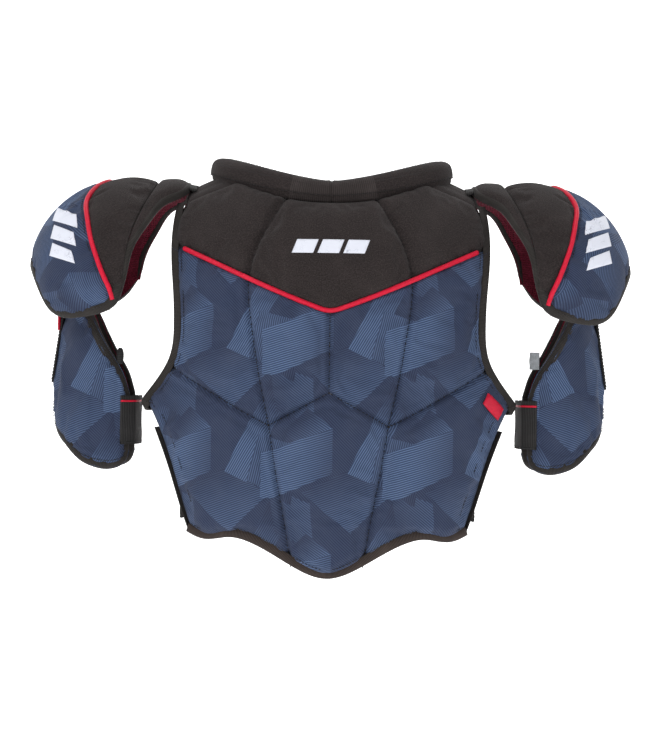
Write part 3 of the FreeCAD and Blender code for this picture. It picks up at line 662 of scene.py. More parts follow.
def face_normal(face, flat):
    """Unit normals that point out of a panel's outer face."""
    flat = np.asarray(flat, float)
    x, z = flat[:, 0], flat[:, 1]
    out = -1.0 if face is back_y else 1.0
    slope_x = (face(x + 0.5, z) - face(x - 0.5, z))
    slope_z = (face(x, z + 0.5) - face(x, z - 0.5))
    normal = np.stack([-out * slope_x, np.full(len(x), out), -out * slope_z], axis=1)
    return normal / np.linalg.norm(normal, axis=1)[:, None]


def cloth_place(flat, radius):
    return np.stack([radius * np.arcsin(np.clip(flat[:, 0] / radius, -1, 1)), flat[:, 1]], axis=1)


def outline_points(stretches, step=GRID):
    """A closed outline sampled evenly, without the repeated corners."""
    loop = np.vstack([spline(points, step)[:-1] for points in stretches])
    for _ in range(2):
        loop = (np.roll(loop, 1, axis=0) + 2 * loop + np.roll(loop, -1, axis=0)) / 4
    return loop


def flat_mesh(loop, lines, step=GRID):
    """A triangle mesh of a flat region with its seams as edges."""
    fixed = [loop] + lines
    row = step * math.sqrt(3) / 2
    low, high = loop.min(0), loop.max(0)
    grid = [(low[0] + (i + 0.5 * (j % 2)) * step, low[1] + j * row)
            for j in range(int((high[1] - low[1]) / row) + 2)
            for i in range(int((high[0] - low[0]) / step) + 2)]
    grid = np.array(grid)
    closed = [np.vstack([loop, loop[:1]])] + lines
    gap, _ = near_lines(grid, closed)
    grid = grid[(gap > 0.62 * step) & inside(grid, loop)]
    points, edges = [], []
    for n, line in enumerate(fixed):
        start = len(points)
        points += line.tolist()
        count = len(line)
        edges += [(start + k, start + (k + 1) % count) for k in range(count if n == 0 else count - 1)]
    points += grid.tolist()
    made = delaunay_2d_cdt(points, edges, [list(range(len(loop)))], 1, 1e-3)
    verts = np.array([tuple(v) for v in made[0]])
    faces = []
    for face in made[2]:
        a, b, c = (verts[k] for k in face[:3])
        area = (b[0] - a[0]) * (c[1] - a[1]) - (b[1] - a[1]) * (c[0] - a[0])
        faces.append(list(face) if area > 0 else list(reversed(face)))
    return verts, faces


def inflate(verts, faces, held, pressure, slack, frames, cap):
    """Cloth simulation of a padded skin: it fills under pressure between the seams that hold it."""
    temp = mesh_object("inflate", verts, faces, np.zeros((len(verts), 2)), False)
    group = temp.vertex_groups.new(name="held")
    group.add([int(v) for v in np.where(held)[0]], 1.0, "REPLACE")
    cloth = temp.modifiers.new("cloth", "CLOTH")
    settings = cloth.settings
    settings.vertex_group_mass = "held"
    settings.quality = 6
    settings.mass = 0.12
    settings.tension_stiffness = 22
    settings.compression_stiffness = 12
    settings.bending_stiffness = 0.35
    settings.air_damping = 3
    settings.use_pressure = True
    settings.uniform_pressure_force = pressure
    settings.shrink_min = -slack
    settings.effector_weights.gravity = 0
    cloth.point_cache.frame_start = 1
    cloth.point_cache.frame_end = frames
    for n in range(1, frames + 1):
        bpy.context.scene.frame_set(n)
    made = temp.evaluated_get(bpy.context.evaluated_depsgraph_get()).to_mesh()
    moved = np.zeros(len(verts) * 3, np.float32)
    made.vertices.foreach_get("co", moved)
    bpy.data.objects.remove(temp)
    bpy.context.scene.frame_set(1)
    shift = moved.reshape(-1, 3).astype(float) / MM - verts
    size = np.linalg.norm(shift, axis=1)
    return verts + shift * (np.minimum(size, cap) / np.maximum(size, 1e-9))[:, None]


def quilted(face, radius, loop, seams, rounded=()):
    """A padded panel skin: its flat places, 3-D places, faces and cloth places."""
    lines = [spline(points, GRID) for points in seams]
    flat, faces = flat_mesh(loop, lines)
    if face is not back_y:
        faces = [list(reversed(f)) for f in faces]
    rim = [np.vstack([loop, loop[:1]])]
    gap_rim, _ = near_lines(flat, rim)
    gap_seam, _ = near_lines(flat, lines)
    gap = np.minimum(gap_rim * 1.15, gap_seam)
    verts = on_face(face, flat) + face_normal(face, flat) * (swelled(gap, 24.0, PUFF) - 1.4)[:, None]
    held = (gap_rim < 0.8) | (gap_seam < 0.8)
    verts = inflate(verts, faces, held, 3.5, 0.045, 14, 2.6)
    verts, faces, cloth = refined(verts, faces, cloth_place(flat, radius))
    flat = verts[:, [0, 2]]
    gap_seam, along = near_lines(flat, lines)
    gap_rim, along_rim = near_lines(flat, rim)
    normal = face_normal(face, flat)
    groove = -SEAM_SINK * np.exp(-(gap_seam / 2.4) ** 2)
    phase = 2.1 * np.sin(along / 23.0) + 1.3 * np.sin(along / 9.7)
    pucker = 0.42 * np.exp(-gap_seam / 6.5) * np.sin(along * 2 * math.pi / 7.4 + phase)
    phase = 1.7 * np.sin(along_rim / 19.0)
    pucker_rim = 0.35 * np.exp(-(gap_rim - 9.0).clip(0) / 7.0) * np.sin(along_rim * 2 * math.pi / 8.3 + phase)
    turned = -3.4 * np.clip(1 - gap_rim / 8.0, 0, 1) ** 2
    for points, rounding in rounded:
        gap_side, _ = near_lines(flat, [spline(points, GRID)])
        turned = np.minimum(turned, -rounding * np.clip(1 - gap_side / 14.0, 0, 1) ** 2)
    verts = verts + normal * (groove + pucker * (gap_rim > 4) + pucker_rim * (gap_rim > 6) + turned)[:, None]
    return flat, verts, faces, cloth


def padded_panel(name, face, verts, faces, cloth, keep):
    """The part of a quilted skin on one side of the piping, closed to its padding's depth."""
    part, part_faces, part_cloth = only(verts, faces, cloth, keep)
    inner = on_face(face, part[:, [0, 2]], PAD_BACK)
    return doubled(name, part, part_faces, inner, part_cloth)


def lining(name, face, radius, loop):
    """The cloth on the wearer's side of a panel, with soft swells between its seams."""
    ahead = np.roll(loop, -1, axis=0) - np.roll(loop, 1, axis=0)
    area = np.sum(loop[:, 0] * np.roll(loop[:, 1], -1) - np.roll(loop[:, 0], -1) * loop[:, 1])
    inward = np.stack([-ahead[:, 1], ahead[:, 0]], axis=1) / np.linalg.norm(ahead, axis=1)[:, None]
    loop = loop + math.copysign(2.5, area) * inward * np.clip((-200 - loop[:, 1:]) / 8, 0, 1)
    flat, faces = flat_mesh(loop, [], 6.0)
    if face is back_y:
        faces = [list(reversed(f)) for f in faces]
    gap, _ = near_lines(flat, [np.vstack([loop, loop[:1]])])
    swell = 1.2 * np.sin(flat[:, 0] / 21.0) * np.sin(flat[:, 1] / 27.0) * np.clip(gap / 20.0, 0, 1)
    verts = on_face(face, flat, PANEL) - face_normal(face, flat) * (swell * (swell > -0.6))[:, None]
    inner = on_face(face, flat, PAD_BACK + 0.2)
    return doubled(name, verts, faces, inner, cloth_place(flat, radius))


def edge_tape(name, face, stretches, width=10.0, thick=PANEL, step=3.0, inset=0.0):
    """Folded binding tape along stretches of a panel's edge, which run round its outline."""
    flat = np.vstack([spline(points, step)[(1 if n else 0):] for n, points in enumerate(stretches)])
    for _ in range(4):
        flat[1:-1] = (flat[:-2] + 2 * flat[1:-1] + flat[2:]) / 4
    flat[:, 0] -= inset * np.sign(flat[:, 0])
    path = on_face(face, flat, PANEL - thick / 2)
    normal = face_normal(face, flat)
    return sweep(name, path, normal, tape_profile(width, thick * 0.80))


def on_line(face, points, lift, step=2.0):
    """A path on a panel's outer face, with its normals."""
    flat = spline(points, step)
    normal = face_normal(face, flat)
    return on_face(face, flat) + normal * lift, normal


def inset_row(face, stretches, inset, lift, sign=1.0, step=2.0):
    """A path a little inside a panel's edge, for its row of stitches."""
    flat = np.vstack([spline(points, step)[(1 if n else 0):] for n, points in enumerate(stretches)])
    along = np.gradient(flat, axis=0)
    along /= np.linalg.norm(along, axis=1)[:, None]
    inner = flat + sign * np.stack([-along[:, 1], along[:, 0]], axis=1) * inset
    normal = face_normal(face, inner)
    return on_face(face, inner) + normal * lift, normal


# ---------------------------------------------------------------- back
def below(flat, line):
    """Which flat points lie under a line given as (x, z) points."""
    curve = spline(line, 2.0)
    return flat[:, 1] < np.interp(flat[:, 0], curve[:, 0], curve[:, 1])


def make_back():
    right = [SIDE, ARMHOLE, BRIDGE_SEAM]
    stretches = [HEM_LINE] + right + [NECK] + [flip(points) for points in reversed(right)]
    loop = outline_points(stretches)
    seams = [QUILT_SIDE, QUILT_CHEVRON, QUILT_WING]
    seams += [flip(points) for points in seams] + [QUILT_CENTRE]
    piping = [(-147.5, -51.5)] + PIPING[1:-1] + [(147.5, -51.5)]
    flat, verts, faces, cloth = quilted(back_y, BACK_RADIUS, loop, seams + [piping],
                                       ((SIDE[:-1], 2.6), (flip(SIDE[:-1]), 2.6), (HEM_LINE, 7.0)))
    middles = np.array([flat[f].mean(0) for f in faces])
    lower = below(middles, PIPING)
    cover = padded_panel("blue_back_panel", back_y, verts, faces, cloth, lower)
    place(cover, "back", "blue_cloth", ("back_cover", "back_foam_lower"), 0.7)
    yoke = padded_panel("black_yoke_panel", back_y, verts, faces, cloth, ~lower)
    place(yoke, "back", "black_cloth", ("back_yoke_cover", "back_foam_yoke"), 0.7)
    place(lining("back_lining", back_y, BACK_RADIUS, loop), "back", "liner_cloth", ("back_liner",))

    path, up = on_line(back_y, PIPING, 0.4)
    inner = np.abs(path[:, 0]) < 143.5
    path, up = path[inner], up[inner]
    cord = sweep("red_back_piping", path, up, circle(2.4, 12, 1.15))
    place(cord, "back", "red_trim", ("back_piping",))
    bound = ARMHOLE[:-1] + [(149, -12)]
    start = [(176.4, -211.5), SIDE[-1]]
    for side, stretch in (("right", [start, bound]), ("left", [flip(bound), flip(start)])):
        tape = edge_tape(side + "_armhole_tape", back_y, stretch)
        place(tape, "back", "binding_tape", ("armhole_bindings",) if side == "right" else ())
    for side, stretch in (("right", SIDE[:-1]), ("left", flip(SIDE[:-1]))):
        tape = edge_tape(side + "_turned_side_edge", back_y, [stretch], 2.0, 16.5, inset=2.2)
        place(tape, "back", "binding_tape")
    hem = edge_tape("hem_tape", back_y, [HEM_LINE])
    place(hem, "back", "hem_tape", ("hem_binding",))

    rows = [on_line(back_y, points, -SEAM_SINK - 0.6) for points in seams]
    sewn("back_quilting_stitches", rows, "black_thread", "back", radius=0.62)
    rows = []
    for stretch in ([start, bound], [flip(bound), flip(start)], [HEM_LINE]):
        rows.append(inset_row(back_y, stretch, 8.2, 2.3))
    for stretch in ([SIDE], [flip(SIDE)]):
        rows.append(inset_row(back_y, stretch, 12.5, 2.4))
    above = [(x, z + 5.0) for x, z in PIPING]
    under = [(x, z - 5.0) for x, z in PIPING]
    rows.append(on_line(back_y, above, 0.9))
    sewn("back_edge_stitches", rows, "black_thread", "back")
    sewn("back_piping_stitches", [on_line(back_y, under, 0.9)], "navy_thread", "back")
    return verts, faces


def dense(corners, step=1.5):
    """A polygon's corners with points added along its sides."""
    points = []
    for a, b in zip(corners, corners[1:] + corners[:1]):
        points.append(spline([a, b], step)[:-1])
    return np.vstack(points)


def join(name, pieces):
    """Several mesh objects made into one piece."""
    verts, faces, cloth = [], [], []
    for piece in pieces:
        mesh = piece.data
        start = sum(len(v) for v in verts)
        co = np.zeros(len(mesh.vertices) * 3, np.float32)
        mesh.vertices.foreach_get("co", co)
        flat = np.zeros(len(mesh.vertices) * 3, np.float32)
        mesh.attributes["cloth"].data.foreach_get("vector", flat)
        verts.append(co.reshape(-1, 3) / MM)
        cloth.append(flat.reshape(-1, 3)[:, :2] / MM)
        faces += [[v + start for v in p.vertices] for p in mesh.polygons]
        bpy.data.objects.remove(piece)
    return mesh_object(name, np.vstack(verts), faces, np.vstack(cloth))


def patch(name, corners, surface, skin, lift, thick, pitch=1.8):
    """A thin patch on a skin (vertices and faces): corners are flat, surface gives places and normals."""
    flat, faces = flat_mesh(dense(corners), [], pitch)
    places, normals = surface(flat)
    tree = BVHTree.FromPolygons(skin[0].tolist(), skin[1])
    for k, (spot, normal) in enumerate(zip(places, normals)):
        hit = tree.ray_cast(Vector(spot + 15 * normal), Vector(-normal), 30.0)[0]
        if hit is not None:
            places[k] = hit
    gap, _ = near_lines(flat, [dense(corners)])
    outer = places + normals * (lift - 0.25 * np.exp(-gap / 0.6))[:, None]
    return doubled(name, outer, faces, places + normals * (lift - thick), flat)


def back_surface(flat):
    return on_face(back_y, flat), face_normal(back_y, flat)


def make_back_trim(skin):
    """The pale yoke emblem, a plain row of slanted bars, and the folded red side label."""
    bars = []
    low, high = -60.5, -48.0
    for n, (start, end) in enumerate(((-34, -14), (-10, 10), (14, 34))):
        corners = [(start - 2.5, low), (end - 2.5, low), (end + 2.5, high), (start + 2.5, high)]
        bars.append(patch(f"bar_{n}", corners, back_surface, skin, 0.45, 0.9))
    place(join("pale_yoke_emblem", bars), "back", "white_print", ("yoke_emblem",))
    corners = [(150.5, -190.5), (166.5, -206), (161, -216.5), (145.5, -200.5)]
    tag = patch("folded_side_label", corners, back_surface, skin, 3.4, 2.2)
    place(tag, "back", "label", ("side_label",))


# ---------------------------------------------------------------- collar and bridges
def collar_frame(turn):
    """Centre, direction and radius of the collar roll at an angle from the middle of the back."""
    side = np.abs(np.sin(turn))
    centre = np.stack([111.0 * np.sin(turn), -66.0 * np.cos(turn), 4.7 + 25.3 * side ** 1.6], axis=1)
    radius = 9.0 + 2.2 * np.sin(2 * np.abs(turn))
    return centre, radius


def make_collar():
    degrees = np.r_[np.linspace(-115, -2.2, 84), np.linspace(-1.8, 1.8, 13), np.linspace(2.2, 115, 84)]
    turn = np.radians(degrees)
    centre, radius = collar_frame(turn)
    out = np.stack([np.sin(turn), -np.cos(turn), np.full(len(turn), 0.35)], axis=1)
    _, side, up = path_frames(centre, out)
    count = 40
    around = np.linspace(0, 2 * math.pi, count, endpoint=False)
    end = np.clip((115 - np.abs(degrees)) / 7.0, 0.0, 1.0)
    size = radius * (0.35 + 0.65 * np.sqrt(end))
    wave = 0.25 * np.sin(np.degrees(turn) * 1.9)[:, None] * np.sin(around * 3)[None]
    seam = -1.3 * np.exp(-((around - 1.05) / 0.12) ** 2) - 0.9 * np.exp(-((around - 4.9) / 0.10) ** 2)
    away = np.abs(degrees)
    middle = -1.0 * np.exp(-(away / 0.55) ** 2) + 0.5 * np.exp(-((away - 1.6) / 0.9) ** 2)
    drop = 5.6 * np.clip(np.sin(around - 0.2), 0, 1) ** 2
    grow = size[:, None] * (1 + drop[None] / 9.0) + wave + seam[None] + middle[:, None]
    verts = (centre[:, None] + up[:, None] * (np.cos(around)[None, :, None] * grow[..., None])
             + side[:, None] * (np.sin(around)[None, :, None] * grow[..., None]))
    faces = grid_faces(len(turn), count, False, True)
    faces.append(list(range(count)))
    faces.append([(len(turn) - 1) * count + k for k in reversed(range(count))])
    length = np.r_[0, np.cumsum(np.linalg.norm(np.diff(centre, axis=0), axis=1))]
    cloth = np.stack(np.broadcast_arrays(length[:, None], (around * 9.0)[None]), axis=-1).reshape(-1, 2)
    verts = verts.reshape(-1, 3)
    zones = np.abs(np.degrees(turn))
    owner = np.array([zones[min(f[0], f[2]) // count] < 21 if len(f) == 4 else False for f in faces])
    ribbed, ribbed_faces, ribbed_cloth = only(verts, faces, cloth, owner)
    plain, plain_faces, plain_cloth = only(verts, faces, cloth, ~owner)
    collar = mesh_object("collar_roll_sides", plain, plain_faces, plain_cloth)
    place(collar, "back", "black_cloth", ("collar_roll",), 0.8)
    middle_part = mesh_object("collar_roll_rib_knit", ribbed, ribbed_faces, ribbed_cloth)
    place(middle_part, "back", "knit_rib", (), 0.8)
    rows = []
    for at, lift in ((0.86, 2.6), (4.70, 0.0)):
        away = up * math.cos(at) + side * math.sin(at)
        rows.append((centre[8:-8] + away[8:-8] * (radius[8:-8, None] + lift), away[8:-8]))
    sewn("collar_stitches", rows, "black_thread", "back")


def arch_point(share, x):
    """The bridge's outer arch at a share of the way from the back (0) to the front (1)."""
    t = (x - BRIDGE_X[0]) / (BRIDGE_X[1] - BRIDGE_X[0])
    back = -44.0 + 8.0 * t
    front = 44.0 - 12.0 * t
    end_z = 16.0 - 20.0 * t
    top = 30.0 - 22.0 * t
    y = back + (front - back) * share
    rise = 1 - (2 * share - 1) ** 2
    return y, end_z + (top - end_z) * rise, rise


def make_bridges():
    """Padded shoulder bridges, whose ends turn down a little past the arch at the back and at the front."""
    for side, sign in SIDES[::-1]:
        rows, columns = 46, 34
        share = np.linspace(-0.10, 1.10, rows)
        across = np.linspace(0, 2 * math.pi, columns, endpoint=False)
        verts, cloth = [], []
        for s in share:
            for a in across:
                wide = np.sign(math.cos(a)) * abs(math.cos(a)) ** 0.55
                tall = np.sign(math.sin(a)) * abs(math.sin(a)) ** 0.75
                x = 117.0 + 25.6 * wide
                y, z, _ = arch_point(min(max(s, 0.0), 1.0), min(max(x, 92), 142))
                spill = s - min(max(s, 0.0), 1.0)
                y += spill * 88.0
                z -= abs(spill) * 70.0
                ends = 1 - min(1.0, abs(spill) / 0.1) ** 2 * 0.75
                deep = 6.6 * ends
                verts.append((sign * x, y, z - 7.2 + deep * tall + 0.4 * math.sin(s * 40) * (tall > 0.5)))
                cloth.append((x, s * 90 + tall * 4))
        faces = grid_faces(rows, columns, False, True)
        faces.append(list(range(columns)))
        faces.append([(rows - 1) * columns + k for k in reversed(range(columns))])
        if sign > 0:
            faces = [list(reversed(f)) for f in faces]
        bridge = mesh_object(side + "_bridge_pad", verts, faces, cloth)
        bridge.data.materials.append(MATERIALS["black_cloth"])
        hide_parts(side + "_shoulder_bridge")
        x = sign * 0.117
        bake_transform(bridge)


def make_gussets():
    """Soft strips that bridge the gap between a shoulder bridge and its cap's arch."""
    for side, sign in SIDES[::-1]:
        rows, columns = 24, 14
        y = np.linspace(-27, 27, rows)
        share = np.linspace(0, 1, columns)
        inner = np.array([arch_point((v + 38) / 72.0, 134.0)[1] for v in y]) + 0.8
        turn = np.arcsin(y / CAP_HALF_DEPTH)
        outer = CAP_Z + CAP_RADIUS * np.cos(turn) + 0.6
        x = 133.0 + 19.0 * share
        z = inner[:, None] * (1 - share) + outer[:, None] * share - 1.5 * np.sin(share * math.pi)
        z = z + 0.35 * np.sin(y / 2.2)[:, None] * np.sin(share * math.pi)
        spots = np.stack(np.broadcast_arrays(sign * x[None], y[:, None], z), axis=-1).reshape(-1, 3)
        flat = np.stack(np.broadcast_arrays(x[None], y[:, None]), axis=-1).reshape(-1, 2)
        under = spots - np.array([0, 0, 2.4])
        strip = doubled(side + "_shoulder_gusset", spots, grid_faces(rows, columns), under, flat)
        paint(strip, "elastic")
        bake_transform(strip)


# ---------------------------------------------------------------- chest
def make_chest():
    linings, tapes, cords = [], [], []
    for side in ("right", "left"):
        def turned(points):
            return points if side == "right" else flip(points)

        stretches = [CHEST_TOP, CHEST_ARM, CHEST_SIDE, CHEST_HEM, CHEST_MIDDLE, CHEST_NECK]
        if side == "left":
            stretches = [flip(points) for points in reversed(stretches)]
        loop = outline_points(stretches)
        if side == "right":
            loop = loop[::-1]
        seams = [turned(points) for points in CHEST_QUILT + [CHEST_PIPING[:-1] + [(126, -68.4)]]]
        flat, verts, faces, cloth = quilted(chest_y, CHEST_RADIUS, loop, seams)
        middles = np.array([flat[f].mean(0) for f in faces])
        lower = below(middles, turned(CHEST_PIPING))
        panel = padded_panel(side + "_blue_chest_panel", chest_y, verts, faces, cloth, lower)
        place(panel, "chest", "blue_cloth", (side + "_chest_cover", side + "_chest_foam"), 0.7)
        top = padded_panel(side + "_black_chest_yoke", chest_y, verts, faces, cloth, ~lower)
        place(top, "chest", "black_cloth", (), 0.7)
        linings.append(lining("lining", chest_y, CHEST_RADIUS, loop))
        edges = [[CHEST_ARM], [CHEST_SIDE, CHEST_HEM, CHEST_MIDDLE, CHEST_NECK]]
        for stretch in edges:
            run = [turned(points) for points in stretch]
            run = run if side == "right" else run[::-1]
            tapes.append(edge_tape("tape", chest_y, run))
        path, up = on_line(chest_y, turned(CHEST_PIPING), 0.4)
        cords.append(sweep("cord", path, up, circle(2.4, 12, 1.15)))
        rows = [on_line(chest_y, points, -SEAM_SINK - 0.6) for points in seams]
        for stretch in edges:
            run = [turned(points) for points in stretch]
            run = run if side == "right" else run[::-1]
            rows.append(inset_row(chest_y, run, 8.2, 2.3, -1.0))
        sewn(side + "_chest_stitches", rows, "black_thread", "chest")
    place(join("chest_lining", linings), "chest", "liner_cloth", ("chest_liner",))
    place(join("chest_edge_tape", tapes), "chest", "binding_tape", ("chest_binding",))
    place(join("chest_red_piping", cords), "chest", "red_trim", ("chest_piping",))


# ---------------------------------------------------------------- straps
def bar_profile(width, thick, rib=0.0):
    """A rounded flat section, sideways by up."""
    half, tall = width / 2, thick / 2
    soft = min(tall, 1.2)
    right = [(half - soft * 0.3, -tall + soft * 0.3), (half, 0), (half - soft * 0.3, tall - soft * 0.3)]
    across = np.linspace(half - soft, -half + soft, 9)
    top = [(x, tall + rib * math.cos(x * 2 * math.pi / 9.0)) for x in across]
    left = [(-x, -y) for x, y in right]
    low = [(-x, -y) for x, y in top]
    return np.array(right + top + left + low)


def strap(name, path, up, width, thick, step=3.0):
    """Flat webbing along a path."""
    path = spread(path, step)
    up = np.broadcast_to(np.asarray(up, float), path.shape)
    return sweep(name, path, up, bar_profile(width, thick))


def crossed_box(centre, along, across, up, long, wide):
    """Rows of a stitched rectangle with a cross in it."""
    centre, along, across, up = (np.asarray(v, float) for v in (centre, along, across, up))
    corners = [centre + along * long / 2 * a + across * wide / 2 * b
               for a, b in ((-1, -1), (1, -1), (1, 1), (-1, 1))]
    lines = [(0, 1), (1, 2), (2, 3), (3, 0), (0, 2), (1, 3)]
    rows = [spread([corners[a], corners[b]], 1.0) for a, b in lines]
    return [(row, np.broadcast_to(up, row.shape)) for row in rows]


def box_mm(node):
    low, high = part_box(node)
    return np.array(low) / MM, np.array(high) / MM


def make_straps():
    """Elastic and webbing straps of the chest and the sides, each with its stitched box."""
    for level in ("upper", "lower"):
        low, high = box_mm(level + "_sternum_strap")
        middle_z, y = (low[2] + high[2]) / 2, (low[1] + high[1]) / 2
        path = [(low[0], y, middle_z), (low[0] + 20, y + 0.2, middle_z), (high[0] - 14, y + 0.5, middle_z),
                (high[0], y, middle_z)]
        wide = high[2] - low[2] - 0.6
        piece = strap(level + "_sternum_elastic", path, (0, 1, 0), wide, high[1] - low[1])
        place(piece, level + "_strap", "elastic", (level + "_sternum_strap",))
        face = (high[1] + low[1]) / 2 + (high[1] - low[1]) / 2
        axes = (1, 0, 0), (0, 0, 1), (0, 1, 0)
        rows = crossed_box((low[0] + 14, face + 0.1, middle_z), *axes, 20, wide - 9)
        rows += crossed_box((high[0] - 9, face + 0.3, middle_z), *axes, 10, wide - 9)
        sewn(level + "_sternum_strap_stitches", rows, "black_thread", level + "_strap")
    low, high = box_mm("strap_loop_patches")
    straps = [box_mm(level + "_sternum_strap") for level in ("upper", "lower")]
    pads = []
    for a, b in straps:
        middle_z = (a[2] + b[2]) / 2
        for start, end in ((low[0], a[0] - 0.6), (b[0] - 26, high[0])):
            flat = np.array([(start, middle_z), (end, middle_z)])
            path, up = on_line(chest_y, flat, 0.9)
            path[:, 1] = np.minimum(path[:, 1], a[1] - 0.9)
            pads.append(sweep("pad", path, up, bar_profile(b[2] - a[2] + 1.0, 1.8)))
    place(join("strap_loop_cloth", pads), "chest", "webbing", ("strap_loop_patches",))

    tabs = []
    for side, sign in SIDES[::-1]:
        low, high = box_mm(side + "_side_strap")
        x, middle_z, wide = (low[0] + high[0]) / 2, (low[2] + high[2]) / 2, high[2] - low[2] - 0.6
        path = [(x, y, middle_z) for y in (low[1], low[1] + 25, high[1] - 12, high[1])]
        piece = strap(side + "_side_elastic", path, (sign, 0, 0), wide, high[0] - low[0])
        place(piece, side + "_side_strap", "elastic", (side + "_side_strap",))
        face = x + sign * (high[0] - low[0]) / 2
        axes = (0, 1, 0), (0, 0, 1), (sign, 0, 0)
        rows = crossed_box((face, low[1] + 12, middle_z), *axes, 14, wide - 10)
        rows += crossed_box((face, high[1] - 12, middle_z), *axes, 16, wide - 10)
        sewn(side + "_side_strap_stitches", rows, "black_thread", side + "_side_strap")
        tab_x = sign * (SIDE_TAB_X[0] + SIDE_TAB_X[1]) / 2
        path = [(tab_x, SIDE_TAB_Y[0], middle_z), (tab_x, SIDE_TAB_Y[1], middle_z)]
        tabs.append(strap("tab", path, (sign, 0, 0), wide - 1.0, SIDE_TAB_X[1] - SIDE_TAB_X[0] - 0.3))
    place(join("chest_side_tab_webbing", tabs), "chest", "webbing", ("chest_side_tabs",))


# ---------------------------------------------------------------- caps
def polar(points):
    """Distance and angle of (x, z) points from the cap's pole."""
    p = np.asarray(points, float) - np.array([CAP_X, CAP_Z])
    return np.hypot(p[:, 0], p[:, 1]), np.arctan2(p[:, 1], p[:, 0])


def cap_limits(r, y=-1.0):
    """Lowest and highest angles of the cap's cloth at distances from the pole, at the back or front."""
    seam = spline(CAP_SEAM, 2.0)
    seam = seam[seam[:, 1] > CAP_Z]
    far, turn = polar(seam)
    order = np.argsort(far)
    high = np.interp(r, np.r_[0, far[order]], np.r_[math.pi / 2, turn[order]])
    far, turn = polar(spline(CAP_RIM, 2.0))
    low = np.interp(r, np.r_[0, far], np.r_[math.radians(-85), turn])
    rim = spline(CAP_RIM_FRONT, 2.0)
    far, turn = polar(rim)
    order = np.argsort(far)
    front = np.interp(r, np.r_[0, far[order]], np.r_[math.radians(60), turn[order]])
    low = np.where(np.asarray(y) > 0, np.minimum(front, high - 0.02), low)
    return low, high


def dome(flat, sign_y):
    """Places and normals of flat (x, z) points on the near (-1) or far (1) half of the cap."""
    flat = np.asarray(flat, float)
    r, _ = polar(flat)
    level = np.sqrt(np.clip(1 - (r / CAP_RADIUS) ** 2, 0, 1))
    y = sign_y * CAP_HALF_DEPTH * level
    places = np.stack([flat[:, 0], y, flat[:, 1]], axis=1)
    normals = dome_normal(places)
    return places, normals


def dome_normal(places):
    normal = (places - np.array([CAP_X, 0, CAP_Z])) / np.array([CAP_RADIUS, CAP_HALF_DEPTH, CAP_RADIUS]) ** 2
    return normal / np.linalg.norm(normal, axis=1)[:, None]


def cap_shell(rows, columns, inset=0.0):
    """A grid of places on the cap between its seam and its rim, and its cloth places."""
    lean = np.radians(np.linspace(-88.2, 88.2, rows))
    r = CAP_RADIUS * np.cos(lean)
    low, high = cap_limits(r, lean)
    trim = np.minimum(inset / np.maximum(r, 1), 0.2 * (high - low))
    high = high + (0.006 if inset else 0.0)
    turn = (low + trim)[:, None] + (high - low - trim)[:, None] * np.linspace(0, 1, columns)[None]
    x = CAP_X + r[:, None] * np.cos(turn)
    z = CAP_Z + r[:, None] * np.sin(turn)
    y = np.broadcast_to((CAP_HALF_DEPTH * np.sin(lean))[:, None], x.shape)
    flat = np.stack([r[:, None] * turn, np.broadcast_to((95 * lean)[:, None], x.shape)], axis=-1)
    return np.stack([x, y, z], axis=-1).reshape(-1, 3), flat.reshape(-1, 2)


def border_path(shift=0.0):
    """The piping's path on the cap, from the far side over the top to the near side."""
    line = spline(CAP_BORDER, 1.0)
    along = np.gradient(line, axis=0)
    along /= np.linalg.norm(along, axis=1)[:, None]
    line = line + shift * np.stack([-along[:, 1], along[:, 0]], axis=1)
    r, turn = polar(line)
    on_dome = r < CAP_RADIUS - 0.02
    halves = []
    for sign_y in (-1, 1):
        low, _ = cap_limits(r, sign_y * np.ones(len(r)))
        halves.append(dome(line[on_dome & ((turn > low) | (line[:, 1] > CAP_Z + 10))], sign_y)[0])
    near, far = halves
    path = spread(np.vstack([far[::-1], near]), 2.0)
    return path, dome_normal(path)


def rim_path(lift=0.0, depth=0.0):
    """A path along the cap's rim, lift along the cloth and depth under it."""
    lean = np.radians(np.linspace(-82.0, 82.0, 130))
    r = CAP_RADIUS * np.cos(lean)
    low, _ = cap_limits(r, lean)
    turn = low + lift / np.maximum(r, 1)
    x, z = CAP_X + r * np.cos(turn), CAP_Z + r * np.sin(turn)
    path = np.stack([x, CAP_HALF_DEPTH * np.sin(lean), z], axis=1)
    normal = dome_normal(path)
    path = spread(path - normal * depth, 2.5)
    return path, dome_normal(path)


def arch_rim_path(turn):
    """The middle of the arch's inner edge, with its directions away from the arm."""
    z_line = CAP_Z + CAP_RADIUS * np.cos(turn)
    rim = spline(ARCH_RIM, 1.0)
    x = np.interp(z_line, rim[:, 1], rim[:, 0])
    y = (CAP_HALF_DEPTH - 7.4) * np.sin(turn)
    z = CAP_Z + (CAP_RADIUS - 7.4) * np.cos(turn)
    return np.stack([x, y, z], axis=1), np.stack([0 * turn, np.sin(turn), np.cos(turn)], axis=1)


def eased(path, times=3):
    """A closed path with its corners rounded."""
    for _ in range(times):
        path = (np.roll(path, 1, axis=0) + 2 * path + np.roll(path, -1, axis=0)) / 4
    return path


def cap_loop():
    """The closed path of the tape along the cap's rim and back along the arch's inner edge."""
    rim, rim_up = rim_path(0.0, 5.9)
    arch, arch_up = arch_rim_path(np.radians(np.linspace(84, -91, 120)))
    whole = np.vstack([rim, arch])
    ups = np.vstack([rim_up, arch_up])
    path = spread(np.vstack([whole, whole[:1]]), 2.5)[:-1]
    near = np.linalg.norm(path[:, None] - whole[None], axis=2).argmin(1)
    slim = np.where(near < len(rim), 1.0, 0.68)[:, None]
    return eased(path, 5), eased(ups[near], 8), eased(slim, 20)[:, 0]


